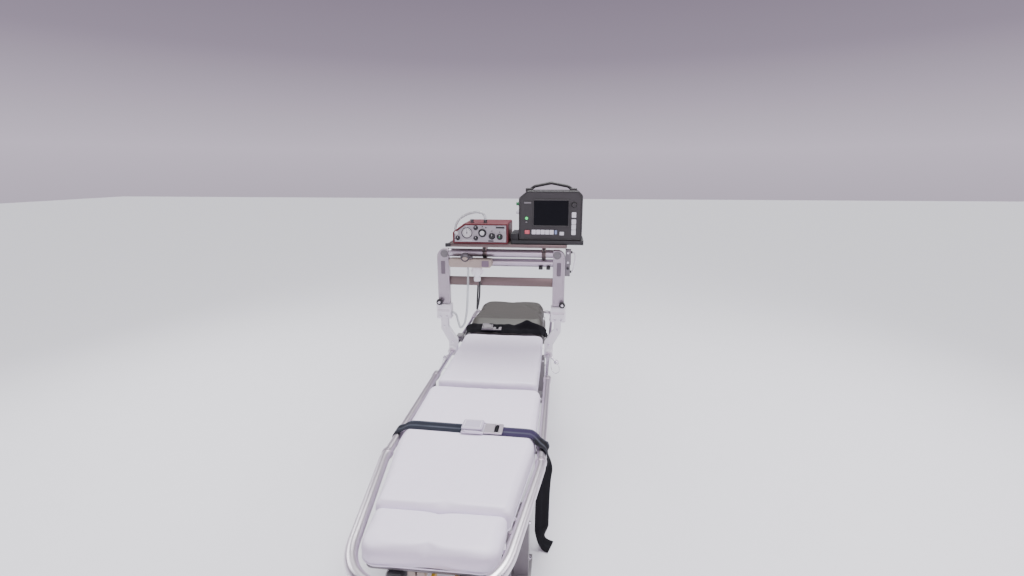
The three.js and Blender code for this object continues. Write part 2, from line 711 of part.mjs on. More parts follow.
// The monitor in its dock, with its screen, a row of keys and an arched handle on top.
const makeMonitor = (bridge) => {
  const stood = tray.high + fit;
  const { left, right, top, front, back, edge } = monitor;
  piece(bridge, 'monitor_dock', join(
    slab(rectangle(dock.left, dock.right, dock.front, dock.back, 6), stood, dock.high),
    boxBetween(
      [dock.left, dock.front + 10, dock.high - 1],
      [dock.stepRight, dock.back - 20, dock.stepHigh],
    ),
  ), 'blackPlastic');
  const handle = { y: 1322, radius: 9, low: -6, shoulder: 17, peak: 32, bend: 20 };
  const handlePath = bentPath([
    [118, handle.y, top + handle.low], [150, handle.y, top + handle.shoulder],
    [222, handle.y, top + handle.peak],
    [294, handle.y, top + handle.shoulder], [326, handle.y, top + handle.low],
  ], handle.bend);
  const caseLow = dock.high + fit;
  piece(bridge, 'monitor_case', join(
    upright([
      [left, caseLow, 8], [right, caseLow, 8], [right, top - 18, 10],
      [right - 20, top, 10], [left + 36, top, 10], [left, top - 30, 10],
    ], front, back, edge),
    tube(handlePath, handle.radius, 18, 10),
  ), 'charcoal');
  const face = front - fit;
  const onFace = (outline, thick) => upright(outline, face - thick, face);
  piece(bridge, 'monitor_screen', onFace(rectangle(146, 303, 917, 1032, 4), 4), 'blackPlastic');
  piece(bridge, 'monitor_keys', onFace(rectangle(140, 246, 882, 902, 4), 5), 'panelGrey');
};

// The oxygen block below the tray: gauge ring, outlet and a clear hose that ends in the left arm.
const makeOxygen = (bridge) => {
  const blockBack = bridgeY - lowTube.radius - fit;
  const ring = { x: -148, z: 765, radius: 18, out: 12 };
  piece(bridge, 'oxygen_block', join(
    upright([
      [oxygen.left, oxygen.low, 12], [oxygen.right, oxygen.low, 12],
      [oxygen.right, oxygen.high, 8], [oxygen.left, oxygen.high, 8],
    ], oxygen.front, blockBack, oxygen.edge),
    bar([ring.x, oxygen.front + 2, ring.z], [ring.x, oxygen.front - ring.out, ring.z], ring.radius),
  ), 'cream');
  const outlet = { x: -101, y: 1252, shoulder: 690, end: 668, radius: 22, endRadius: 15 };
  const outletAt = (z) => [outlet.x, outlet.y, z];
  piece(bridge, 'oxygen_outlet', join(
    bar(outletAt(oxygen.low - fit), outletAt(outlet.shoulder), outlet.radius),
    bar(outletAt(outlet.shoulder + 2), outletAt(outlet.end), outlet.endRadius),
  ), 'whitePaint');
  const blockInner = -(block.x - block.width / 2) + 2 * fit;
  piece(bridge, 'oxygen_hose', tube(smoothPath([
    [-142, 1250, oxygen.low - fit], [-142, 1250, 700], [-146, 1248, 600], [-152, 1246, 520],
    [-166, 1248, 462], [-184, 1254, 446], [-196, 1264, 470], [-206, 1274, 498],
    [-218, 1280, 508], [blockInner, 1280, 508.5],
  ]), 5, 30, 8), 'clearHose');
};

// A bracket with a clamp on the right post, and the white lead between them.
const makeSideBracket = (bridge) => {
  const near = post.x + post.width / 2 + fit;
  const plate = { reach: 25, front: 1281, back: 1309, low: 743, high: 812 };
  const clamp = { reach: 22, front: 1283, back: 1307, low: 692 };
  piece(bridge, 'side_bracket', join(
    boxBetween([near, plate.front, plate.low], [near + plate.reach, plate.back, plate.high]),
    boxBetween([near, clamp.front, clamp.low], [near + clamp.reach, clamp.back, plate.low + 1]),
  ), 'greyFrame');
  piece(bridge, 'sensor_lead', tube(smoothPath([
    [near + plate.reach + fit, 1290, 800], [near + 31, 1290, 800], [near + 40, 1288, 794],
    [near + 44, 1286, 778], [near + 41, 1286, 748], [near + 36, 1287, 722],
    [near + 29, 1290, 712], [near + clamp.reach + fit, 1290, 712],
  ]), 4, 24, 8), 'whitePaint');
};

const makeBridge = () => {
  const bridge = new THREE.Group();
  for (const { word, sign } of sides) {
    piece(bridge, `bridge_arm_${word}`, makeArm(sign), 'whitePaint');
    piece(bridge, `bridge_post_${word}`, makePost(sign), 'aluminium');
  }
  makeGrips(bridge);
  makeCrossBars(bridge);
  piece(bridge, 'tray', makeTray(), 'brushedBar');
  makeVentilator(bridge);
  makeMonitor(bridge);
  makeOxygen(bridge);
  makeSideBracket(bridge);
  return bridge;
};

const blockLeft = -(block.x + block.width / 2);
const stretcher = new THREE.Group();
stretcher.add(makeBase(), makeLitter(), makeHeadrest(), makeBridge());
stretcher.position.set(-(blockLeft + dock.right) / 2, -(overallFoot + overallHead) / 2, 0);

const model = new THREE.Group();
model.add(stretcher);

export default model;
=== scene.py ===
import json
import bmesh
import bpy
import numpy as np
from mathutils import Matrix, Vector


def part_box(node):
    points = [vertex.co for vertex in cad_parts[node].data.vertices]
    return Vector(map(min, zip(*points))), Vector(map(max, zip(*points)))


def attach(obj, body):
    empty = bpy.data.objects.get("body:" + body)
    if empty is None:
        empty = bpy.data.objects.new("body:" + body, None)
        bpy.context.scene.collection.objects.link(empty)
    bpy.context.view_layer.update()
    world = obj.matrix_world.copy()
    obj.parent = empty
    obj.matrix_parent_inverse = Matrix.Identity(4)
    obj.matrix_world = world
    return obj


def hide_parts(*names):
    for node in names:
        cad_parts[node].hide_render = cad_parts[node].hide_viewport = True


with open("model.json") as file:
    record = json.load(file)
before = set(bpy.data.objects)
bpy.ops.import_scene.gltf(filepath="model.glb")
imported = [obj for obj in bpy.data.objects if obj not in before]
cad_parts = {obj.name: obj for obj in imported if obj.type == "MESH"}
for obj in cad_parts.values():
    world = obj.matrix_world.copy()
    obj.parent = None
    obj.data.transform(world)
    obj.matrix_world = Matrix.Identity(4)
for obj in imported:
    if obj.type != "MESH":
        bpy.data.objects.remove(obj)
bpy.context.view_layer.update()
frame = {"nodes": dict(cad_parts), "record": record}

# The pieces are worked out in the stretcher's own millimetres: x across from its centre line,
# y from the mattress's foot edge towards the head, z above the floor.
centreLine = np.mean([corner[0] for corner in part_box("torso_pad")])
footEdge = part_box("foot_pad")[0][1]
origin = np.array([centreLine, footEdge, 0.0])


def inMetres(points):
    return np.asarray(points, float) * 0.001 + origin


def inMillimetres(points):
    return (np.asarray(points, float) - origin) * 1000.0


boxes = {name: inMillimetres([list(corner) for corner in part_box(name)]) for name in frame["nodes"]}
dressed = set()  # CAD nodes that a piece already stands for
sides = [("left", -1.0), ("right", 1.0)]
print("frame loaded:", len(boxes), "nodes")

# Camera, at the photograph's place: metres, degrees and the image's width in pixels
view = dict(place=(0.242, -1.781, 1.150), pitch=13.6, yaw=5.96, focalPixels=484.0, imageWidth=1024.0, sensor=36.0)


def makeCamera(look):
    data = bpy.data.cameras.new("camera")
    data.sensor_width = look["sensor"]
    data.lens = look["focalPixels"] / look["imageWidth"] * look["sensor"]
    data.clip_start = 0.02
    camera = bpy.data.objects.new("camera", data)
    camera.location = look["place"]
    camera.rotation_euler = np.radians([90.0 - look["pitch"], 0.0, look["yaw"]])
    bpy.context.scene.collection.objects.link(camera)
    bpy.context.scene.camera = camera


makeCamera(view)
print("camera made")


# A socket of a shader tree. The operators add Math nodes, so shader maths reads as plain sums.
class Wire:
    def __init__(self, finish, socket):
        self.finish = finish
        self.socket = socket

    def maths(self, operation, *values):
        return self.finish.node("Math", dict(operation=operation), dict(enumerate(values)))

    def __add__(self, other):
        return self.maths("ADD", self, other)

    def __radd__(self, other):
        return self.maths("ADD", other, self)

    def __sub__(self, other):
        return self.maths("SUBTRACT", self, other)

    def __rsub__(self, other):
        return self.maths("SUBTRACT", other, self)

    def __mul__(self, other):
        return self.maths("MULTIPLY", self, other)

    def __rmul__(self, other):
        return self.maths("MULTIPLY", other, self)

    def __pow__(self, other):
        return self.maths("POWER", self, other)

    def sine(self):
        return self.maths("SINE", self)


def shaded(color, share):
    return tuple(share * part for part in color)


# A material: one Principled shader whose even values are set here, and nodes for what changes.
class Finish:
    def __init__(self, name, color, roughness, metallic=0.0, **even):
        self.material = bpy.data.materials.new(name)
        self.material.use_nodes = True
        self.tree = self.material.node_tree
        self.shader = self.tree.nodes["Principled BSDF"]
        self.shader.inputs["Base Color"].default_value = (*color, 1.0)
        self.shader.inputs["Roughness"].default_value = roughness
        self.shader.inputs["Metallic"].default_value = metallic
        for socketName, value in even.items():
            self.shader.inputs[socketName.replace("_", " ")].default_value = value

    def feed(self, socket, value):
        if isinstance(value, Wire):
            self.tree.links.new(value.socket, socket)
        elif isinstance(value, tuple) and len(value) == 3 and socket.type == "RGBA":
            socket.default_value = (*value, 1.0)
        else:
            socket.default_value = value

    def node(self, kind, settings=None, values=None, output=0):
        made = self.tree.nodes.new("ShaderNode" + kind)
        for key, value in (settings or {}).items():
            if key == "stops":
                ramp = made.color_ramp
                while len(ramp.elements) < len(value):
                    ramp.elements.new(1.0)
                for k, (place, color) in enumerate(value):
                    ramp.elements[k].position = place
                    ramp.elements[k].color = (*color, 1.0)
            else:
                setattr(made, key, value)
        for key, value in (values or {}).items():
            self.feed(made.inputs[key], value)
        return Wire(self, made.outputs[output])

    def place(self, stretch=(1.0, 1.0, 1.0)):
        spot = self.node("TexCoord", output=3)
        return self.node("Mapping", None, {"Vector": spot, "Scale": stretch})

    def flat(self, axis):
        return self.node("SeparateXYZ", None, {"Vector": self.node("UVMap")}, output=axis)

    def noise(self, where, scale, detail=2.0, rough=0.5):
        return self.node("TexNoise", None, {
            "Vector": where, "Scale": scale, "Detail": detail, "Roughness": rough})

    def cells(self, where, scale):
        return self.node("TexVoronoi", None, {"Vector": where, "Scale": scale})

    def blend(self, amount, first, second):
        return self.node("Mix", dict(data_type="RGBA"), {0: amount, 6: first, 7: second}, output=2)

    def span(self, value, low, high):
        return self.node("MapRange", None, {"Value": value, "To Min": low, "To Max": high})

    def relief(self, height, strength, distance):
        self.feed(self.shader.inputs["Normal"], self.node("Bump", None, {
            "Height": height, "Strength": strength, "Distance": distance}))

    def set(self, socketName, value):
        self.feed(self.shader.inputs[socketName], value)
        return self


# Vinyl: two close tints in soft clouds, a fine leather grain and small changes of gloss
def vinyl(name, light, dark, gloss, grain):
    made = Finish(name, light, gloss, IOR=1.48)
    spot = made.place()
    clouds = made.noise(spot, 5.0, 4.0, 0.6)
    marks = made.noise(spot, 38.0, 5.0, 0.65)
    tint = made.blend(clouds, light, dark)
    wearAndSheenPatches = made.span(marks ** 3.0, 0.0, 0.5)
    made.set("Base Color", made.blend(wearAndSheenPatches, tint, shaded(dark, 0.86)))
    made.set("Roughness", made.span(clouds * 0.6 + marks * 0.4, gloss - 0.07, gloss + 0.1))
    pebble = made.cells(spot, 620.0) * 0.6 + made.noise(spot, 900.0, 2.0) * 0.4 + clouds * 0.5
    made.relief(pebble, grain, 0.0006)
    return made


# Metal: fine scratches drawn out along one axis, smudges in the tint and the gloss
def metal(name, color, gloss, stretch, scratch, clouding=0.12, metallic=1.0):
    made = Finish(name, color, gloss, metallic)
    spot = made.place()
    lines = made.noise(made.place(stretch), 60.0, 3.0, 0.7)
    smudge = made.noise(spot, 14.0, 4.0, 0.6)
    made.set("Base Color", made.blend(smudge, color, shaded(color, 0.82)))
    made.set("Roughness", made.span(lines * 0.5 + smudge * 0.5, gloss - clouding, gloss + clouding))
    made.relief(lines, scratch, 0.0003)
    return made


# Paint or moulded plastic: a fine orange-peel skin, dust in the gloss and a second tint in clouds
def coated(name, color, gloss, skin=0.12, skinScale=420.0, shade=0.88, coat=0.0, metallic=0.0):
    made = Finish(name, color, gloss, metallic, Coat_Roughness=0.15)
    spot = made.place()
    clouds = made.noise(spot, 9.0, 4.0, 0.6)
    peel = made.noise(spot, skinScale, 2.0, 0.5)
    dust = made.noise(spot, 70.0, 5.0, 0.7)
    made.set("Base Color", made.blend(clouds, color, shaded(color, shade)))
    made.set("Roughness", made.span(dust, gloss - 0.08, gloss + 0.12))
    if coat:
        made.set("Coat Weight", made.span(dust, coat, 0.6 * coat))
    made.relief(peel * 0.8 + dust * 0.2, skin, 0.0004)
    return made


# Webbing: its tint changes along the band, which on the leg strap is painted sheen, pale bands of painted sheen run
# lengthwise, ribs cross it and fuzz dulls it.
# The UV map's first value is the way along the band and its second the way round it, in metres.
def webbing(name, length, stops, sheenShare):
    made = Finish(name, stops[0][1], 0.8, IOR=1.25)
    along, across = made.flat(0), made.flat(1)
    fuzz = made.noise(made.place(), 700.0, 3.0, 0.7)
    tint = made.node("ValToRGB", dict(stops=stops), {"Fac": along * (1.0 / length)})
    # Pale lengthwise bands: painted sheen, broken up in patches and mixed towards a grey-blue.
    sheenStripe = ((across * 241.0).sine() * 0.5 + 0.5) ** 4.0
    wearAndSheenPatches = made.noise(made.place((1.0, 6.0, 1.0)), 16.0, 3.0, 0.6)
    withSheen = made.blend(sheenStripe * sheenShare * wearAndSheenPatches, tint, (0.13, 0.14, 0.18))
    made.set("Base Color", made.blend(fuzz * 0.45, withSheen, (0.006, 0.005, 0.009)))
    made.set("Roughness", made.span(fuzz, 0.6, 0.9))
    ribs = (along * 2600.0 + (across * 700.0).sine() * 1.4).sine()
    made.relief(ribs * 0.5 + (across * 1700.0).sine() * 0.5 + fuzz * 0.4, 0.5, 0.0005)
    return made


finishes = {
    "vinyl": vinyl("padVinyl", (0.78, 0.71, 0.85), (0.725, 0.655, 0.795), 0.40, 0.22),
    # The head pad's dark tone is painted shade: the tray above shades vinyl like that of the other pads.
    "head_vinyl": vinyl("headVinyl", (0.042, 0.037, 0.033), (0.033, 0.029, 0.026), 0.50, 0.35),
    "aluminium": metal("satinAluminium", (0.74, 0.68, 0.74), 0.32, (1.0, 0.05, 1.0), 0.02, 0.04),
    # The brushed bar's dark warm brown is a painted reflection of warm surroundings in the steel.
    "brushed_bar": metal("brushedBar", (0.19, 0.145, 0.14), 0.36, (0.02, 1.0, 1.0), 0.15),
    "chrome": metal("chromedSteel", (0.80, 0.76, 0.83), 0.18, (0.3, 1.0, 1.0), 0.03, 0.05),
    "grey_frame": coated("greyFrame", (0.215, 0.200, 0.215), 0.42, metallic=0.35),
    "white_paint": coated("whitePaint", (0.92, 0.90, 0.95), 0.34, coat=0.35),
    "webbing": webbing("blackWebbing", 1.0, [
        (0.0, (0.0035, 0.0030, 0.0050)), (1.0, (0.0040, 0.0035, 0.0055))], 0.06),
    "black_plastic": coated("blackPlastic", (0.014, 0.014, 0.016), 0.46, skin=0.25),
    "charcoal": coated("charcoalCase", (0.024, 0.022, 0.024), 0.42, skin=0.3),
    "yellow_paint": coated("yellowPaint", (0.68, 0.42, 0.035), 0.38, coat=0.3),
    "red_plastic": coated("redCase", (0.115, 0.005, 0.012), 0.44),
    "panel_grey": coated("panelGrey", (0.40, 0.375, 0.405), 0.44),
    "cream": coated("creamPlastic", (0.42, 0.345, 0.30), 0.44),
    "clear_hose": Finish("clearHose", (0.72, 0.75, 0.76), 0.12, Transmission_Weight=0.55, IOR=1.45),
}
# The leg strap is black webbing: its slate and plum stretches over the pad are painted sheen, and it stays black at
# both ends.
slate, plum, black = (0.013, 0.016, 0.028), (0.034, 0.023, 0.068), (0.005, 0.004, 0.007)
finishes["strapWebbing"] = webbing("strapWebbing", 0.60, [
    (0.0, black), (0.12, slate), (0.44, slate), (0.60, plum), (0.785, plum), (0.82, black)], 0.9)
finishes["postMetal"] = metal("postMetal", (0.50, 0.44, 0.50), 0.32, (1.0, 1.0, 0.04), 0.02, 0.05, 0.75)
finishes["tubeMetal"] = metal("tubeMetal", (0.55, 0.49, 0.56), 0.36, (0.04, 1.0, 1.0), 0.01, 0.04, 0.8)
finishes["greySteel"] = metal("greySteel", (0.20, 0.18, 0.20), 0.36, (0.3, 1.0, 1.0), 0.03, 0.06, 0.6)
finishes["buckleSteel"] = metal("buckleSteel", (0.80, 0.74, 0.86), 0.38, (0.3, 1.0, 1.0), 0.03, 0.05, 0.45)
finishes["dial"] = coated("dialWhite", (0.66, 0.65, 0.66), 0.4, coat=0.4)
finishes["whiteKey"] = coated("whiteKey", (0.74, 0.73, 0.78), 0.4)
finishes["pinkKey"] = coated("pinkKey", (0.62, 0.11, 0.14), 0.4)
finishes["blueKey"] = coated("blueKey", (0.25, 0.31, 0.52), 0.4)
finishes["greenPlastic"] = coated("greenPlastic", (0.02, 0.20, 0.07), 0.4)
finishes["greyKey"] = coated("greyKey", (0.20, 0.19, 0.20), 0.45)
finishes["darkMetal"] = metal("darkMetal", (0.13, 0.12, 0.13), 0.38, (1.0, 1.0, 0.1), 0.15)
finishes["lilacLid"] = coated("lilacLid", (0.50, 0.44, 0.58), 0.30, coat=0.4)
finishes["plumPlastic"] = coated("plumPlastic", (0.20, 0.145, 0.20), 0.4)
finishes["slotGrey"] = coated("slotGrey", (0.17, 0.14, 0.17), 0.5)
finishes["screenGlass"] = Finish("screenGlass", (0.003, 0.003, 0.006), 0.10, IOR=1.22,
                                 Coat_Weight=0.05, Coat_Roughness=0.05)
finishes["greenLamp"] = Finish("greenLamp", (0.04, 0.45, 0.12), 0.25,
                               Emission_Color=(0.05, 0.8, 0.2, 1.0), Emission_Strength=1.2)
glass = finishes["screenGlass"]
glass.set("Roughness", glass.span(glass.noise(glass.place(), 22.0, 4.0, 0.6), 0.06, 0.22))
hose = finishes["clear_hose"]
hose.set("Roughness", hose.span(hose.noise(hose.place(), 30.0, 3.0, 0.6), 0.08, 0.25))
lamp = finishes["greenLamp"]
lamp.set("Roughness", lamp.span(lamp.noise(lamp.place(), 300.0), 0.15, 0.35))
print("finishes made:", len(finishes))


def newObject(name, mesh):
    made = bpy.data.objects.new(name, mesh)
    bpy.context.scene.collection.objects.link(made)
    return made


# Merges doubles, turns the faces outwards and shades them smooth.
def tidyMesh(obj, merge=1e-6):
    work = bmesh.new()
    work.from_mesh(obj.data)
    bmesh.ops.remove_doubles(work, verts=work.verts, dist=merge)
    bmesh.ops.dissolve_degenerate(work, edges=work.edges, dist=merge)
    bmesh.ops.recalc_face_normals(work, faces=work.faces)
    work.to_mesh(obj.data)
    work.free()
    obj.data.polygons.foreach_set("use_smooth", np.ones(len(obj.data.polygons), bool))
    return obj


# A grid of points as a mesh: rows and columns may wrap round, and open rows may be capped.
# Its UV map holds the distance along the rows and along the columns, in metres.
def gridPiece(name, grid, wrapRows=False, wrapCols=False, caps=False):
    rows, cols = grid.shape[:2]
    i, j = np.meshgrid(np.arange(rows - 1 + wrapRows), np.arange(cols - 1 + wrapCols), indexing="ij")
    corners = [(i, j), (i + 1, j), (i + 1, j + 1), (i, j + 1)]
    quads = np.stack([(r % rows) * cols + c % cols for r, c in corners], -1).reshape(-1, 4)
    rowStep = np.linalg.norm(np.diff(grid, axis=0, append=grid[:1]), axis=2).mean(1)
    colStep = np.linalg.norm(np.diff(grid, axis=1, append=grid[:, :1]), axis=2).mean(0)
    rowAt = np.concatenate([[0.0], np.cumsum(rowStep)]) * 0.001
    colAt = np.concatenate([[0.0], np.cumsum(colStep)]) * 0.001
    uv = np.stack([np.stack([rowAt[r], colAt[c]], -1) for r, c in corners], -2).reshape(-1, 2)
    faces = quads.tolist()
    if caps:
        first = list(range(cols))
        faces += [first[::-1], [(rows - 1) * cols + k for k in first]]
        ends = np.concatenate([grid[0, ::-1, :2], grid[-1, :, :2]]) * 0.001
        uv = np.concatenate([uv, ends])
    mesh = bpy.data.meshes.new(name)
    mesh.from_pydata(inMetres(grid.reshape(-1, 3)).tolist(), [], faces)
    mesh.uv_layers.new(name="flat").data.foreach_set("uv", uv.astype(np.float32).ravel())
    return tidyMesh(newObject(name, mesh))


# Several parts of one material as one object
def joined(name, parts):
    work = bmesh.new()
    for part in parts:
        work.from_mesh(part.data)
    mesh = bpy.data.meshes.new(name)
    work.to_mesh(mesh)
    work.free()
    for part in parts:
        bpy.data.objects.remove(part)
    return newObject(name, mesh)


# Gives a finished piece its material, chosen by its record slot's name or its look, its body and the nodes that it
# stands for.
def finishPiece(obj, body, slotName, replaced=(), look=None, crisp=True):
    obj.data.materials.clear()
    obj.data.materials.append((finishes[look or slotName]).material)
    if crisp:
        obj.data.set_sharp_from_angle(angle=np.radians(42))
        obj.modifiers.new("evenShade", "WEIGHTED_NORMAL").keep_sharp = True
    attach(obj, body)
    if replaced:
        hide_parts(*replaced)
        dressed.update(replaced)
    return obj


# Parts of one material joined and finished as one piece
def built(name, parts, body, slotName, replaced=(), look=None):
    return finishPiece(joined(name, parts), body, slotName, replaced, look)


# Straight runs whose corners are rounded: (1-t)^2 start + 2t(1-t) corner + t^2 end.
def bentPath(points, radius, steps=14):
    spots = np.array(points, float)
    out = [spots[:1]]
    t = np.linspace(0.0, 1.0, steps)[:, None]
    for before, here, after in zip(spots[:-2], spots[1:-1], spots[2:]):
        back, on = unit(before - here), unit(after - here)
        reach = radius / np.tan(np.arccos(np.clip(back @ on, -1, 1)) / 2)
        out.append((1 - t) ** 2 * (here + back * reach) + 2 * t * (1 - t) * here + t ** 2 * (here + on * reach))
    out.append(spots[-1:])
    return np.concatenate(out)


# Points spaced evenly along a line
def evenly(line, count, closed=False):
    spots = np.concatenate([line, line[:1]]) if closed else np.asarray(line, float)
    run = np.concatenate([[0.0], np.cumsum(np.linalg.norm(np.diff(spots, axis=0), axis=1))])
    at = np.linspace(0.0, run[-1], count + closed)[:count]
    return np.stack([np.interp(at, run, spots[:, axis]) for axis in range(spots.shape[1])], -1)


# A smooth line through the points: a cubic between each pair, with slopes from the neighbours
def smoothPath(points, count):
    spots = np.array(points, float)
    knots = np.concatenate([[0.0], np.cumsum(np.linalg.norm(np.diff(spots, axis=0), axis=1) ** 0.5)])
    slopes = np.gradient(spots, knots, axis=0)
    at = np.linspace(0.0, knots[-1], 12 * len(spots))
    k = np.clip(np.searchsorted(knots, at) - 1, 0, len(knots) - 2)
    width = (knots[k + 1] - knots[k])[:, None]
    t = (at - knots[k])[:, None] / width
    line = ((2 * t ** 3 - 3 * t ** 2 + 1) * spots[k] + (t ** 3 - 2 * t ** 2 + t) * width * slopes[k]
            + (3 * t ** 2 - 2 * t ** 3) * spots[k + 1] + (t ** 3 - t ** 2) * width * slopes[k + 1])
    return evenly(line, count)


def unit(vectors):
    vectors = np.asarray(vectors, float)
    return vectors / np.linalg.norm(vectors, axis=-1, keepdims=True)


# A profile of (across, up) offsets carried along a path: point = path + across * side + up * lift.
# The side runs along the given guide as far as that is square to the path.
def sweep(name, path, profile, guide=(0.0, 0.0, 1.0), bulge=None):
    run = unit(np.gradient(path, axis=0))
    guide = np.broadcast_to(np.array(guide, float), path.shape)
    side = unit(guide - run * (run * guide).sum(-1, keepdims=True))
    lift = np.cross(run, side)
    grid = path[:, None] + profile[None, :, :1] * side[:, None] + profile[None, :, 1:] * lift[:, None]
    if bulge is not None:
        grid = bulge(grid)
    return gridPiece(name, grid, wrapCols=True, caps=True)


def circle(radius, count=40):
    angle = np.linspace(0.0, 2 * np.pi, count, endpoint=False)
    return radius * np.stack([np.cos(angle), np.sin(angle)], -1)


# The section of a flat band: two straight faces with half circles between them
def band(width, thick, spans=10):
    half, r = width / 2 - thick / 2, thick / 2
    angle = np.linspace(-np.pi / 2, np.pi / 2, 7)
    end = np.stack([half + r * np.cos(angle), r * np.sin(angle)], -1)
    across = np.linspace(half, -half, spans + 1)[1:-1]
    top = np.stack([across, np.full(len(across), r)], -1)
    return np.concatenate([end, top, -end, -top])


def tube(name, points, radius, count=80, facets=28):
    path = smoothPath(points, count)
    return sweep(name, path, circle(radius, facets), np.eye(3)[np.ptp(path, axis=0).argmin()])


# A profile of (radius, distance) pairs turned round an axis. A ridge makes the radius r (1 + ridge(angle)).
def lathe(name, profile, centre, axis, facets=40, ridge=None):
    pairs = np.array(profile, float)
    out = unit(axis)
    side = unit(np.cross(out, (0.0, 0.0, 1.0) if abs(out[2]) < 0.9 else (1.0, 0.0, 0.0)))
    angle = np.linspace(0.0, 2 * np.pi, facets, endpoint=False)
    ring = np.cos(angle)[:, None] * side + np.sin(angle)[:, None] * np.cross(out, side)
    radius = pairs[:, :1] * (np.ones(facets) if ridge is None else 1.0 + ridge(angle))[None]
    grid = np.array(centre, float) + pairs[:, None, 1:] * out + radius[..., None] * ring[None]
    closed = np.allclose(pairs[0], pairs[-1])
    return gridPiece(name, grid[:-1] if closed else grid, wrapRows=closed, wrapCols=True)


# A straight rod or disc from start to end with both edges rounded
def rod(name, start, end, radius, edge=0.8, facets=40):
    start, end = np.array(start, float), np.array(end, float)
    long = np.linalg.norm(end - start)
    a = np.linspace(0.0, np.pi / 2, 4)
    low = np.stack([radius - edge * (1 - np.sin(a)), edge * (1 - np.cos(a))], -1)
    high = np.stack([radius - edge * (1 - np.cos(a)), long - edge * (1 - np.sin(a))], -1)
    return lathe(name, [(0.0, 0.0), *low, *high, (0.0, long)], start, end - start, facets)


# An outline through (x, y, radius) corners, listed anticlockwise, each rounded by its own arc
def outline(corners, count=None):
    spots = np.array([corner[:2] for corner in corners], float)
    out = []
    for k, corner in enumerate(corners):
        here, radius = spots[k], corner[2]
        before, after = unit(spots[k - 1] - here), unit(spots[(k + 1) % len(spots)] - here)
        half = np.arccos(np.clip(before @ after, -1.0, 1.0)) / 2
        if radius == 0 or half > 1.56:
            out.append(here[None])
            continue
        middle = here + unit(before + after) * radius / np.sin(half)
        reach = radius / np.tan(half)
        start, end = here + before * reach - middle, here + after * reach - middle
        t = np.linspace(0.0, 1.0, 9)[:, None]
        turn = np.pi - 2 * half
        out.append(middle + (np.sin((1 - t) * turn) * start + np.sin(t * turn) * end) / np.sin(turn))
    line = np.concatenate(out)
    line = line[np.linalg.norm(line - np.roll(line, 1, axis=0), axis=1) > 1e-6]  # arcs that meet share a point
    return line if count is None else evenly(line, count, closed=True)


def rect(left, right, low, high, radius=2.0):
    return [(left, low, radius), (right, low, radius), (right, high, radius), (left, high, radius)]


def mirrored(rightHalf):
    return list(rightHalf) + [(-x, y, radius) for x, y, radius in rightHalf[::-1]]


# Outward directions of a closed line, from the runs before and after each point
def outwards(line):
    run = unit(unit(np.roll(line, -1, axis=0) - line) + unit(line - np.roll(line, 1, axis=0)))
    return np.stack([run[:, 1], -run[:, 0]], -1)


# How a plate's own x, y and height are laid: flat, or standing with its height towards the foot end
lying = np.eye(3)
standing = np.array([[1.0, 0.0, 0.0], [0.0, 0.0, 1.0], [0.0, -1.0, 0.0]])


# A plate: an outline raised from low to high, its edges rounded by quarter circles.
# At angle a the outline moves in by edge (1 - sin a), and the height from its face by edge (1 - cos a).
def plate(name, corners, low, high, edge=1.0, turn=lying, steps=4):
    line = outline(corners)
    normal = outwards(line)
    angle = np.linspace(0.0, np.pi / 2, steps)
    inset = edge * np.concatenate([1 - np.sin(angle), 1 - np.cos(angle)])
    height = np.concatenate([low + edge * (1 - np.cos(angle)), high - edge * (1 - np.sin(angle))])
    flat = line[None] - inset[:, None, None] * normal[None]
    grid = np.concatenate([flat, np.broadcast_to(height[:, None, None], (*flat.shape[:2], 1))], -1)
    return gridPiece(name, grid @ turn, wrapCols=True, caps=True)


# A plate whose outline lies in x and z, from front to back along y
def upright(name, corners, front, back, edge=1.0):
    return plate(name, corners, -back, -front, edge, standing)


# A frame: the outline's ring of even breadth, raised from low to high, with its edges broken
def ringPlate(name, corners, breadth, low, high, edge=0.8, turn=lying):
    line = outline(corners)
    normal = outwards(line)
    loop = [(0.0, low + edge), (0.0, high - edge), (edge, high), (breadth - edge, high),
            (breadth, high - edge), (breadth, low + edge), (breadth - edge, low), (edge, low)]
    grid = np.stack([np.concatenate([line - inset * normal, np.full((len(line), 1), z)], -1)
                     for inset, z in loop])
    return gridPiece(name, grid @ turn, wrapRows=True, wrapCols=True)


# A hexagon bolt with its washer
def bolt(centre, axis, size=4.0):
    head = [(0.0, 1.0), (size, 1.0), (size, 0.9 * size), (0.86 * size, 1.1 * size), (0.0, 1.1 * size)]
    washer = [(0.0, 0.0), (1.45 * size, 0.0), (1.5 * size, 0.3), (1.5 * size, 0.9), (1.4 * size, 1.2), (0.0, 1.2)]
    return [lathe("washer", washer, centre, axis, 24), lathe("head", head, centre, axis, 6)]


def bolts(name, body, spots):
    built(name, [part for centre, axis, size in spots for part in bolt(centre, axis, size)], body, "chrome")


def pointsOf(obj):
    out = np.zeros(len(obj.data.vertices) * 3, np.float32)
    obj.data.vertices.foreach_get("co", out)
    return inMillimetres(out.reshape(-1, 3))


def movePoints(obj, points):
    obj.data.vertices.foreach_set("co", inMetres(points).astype(np.float32).ravel())
    obj.data.update()


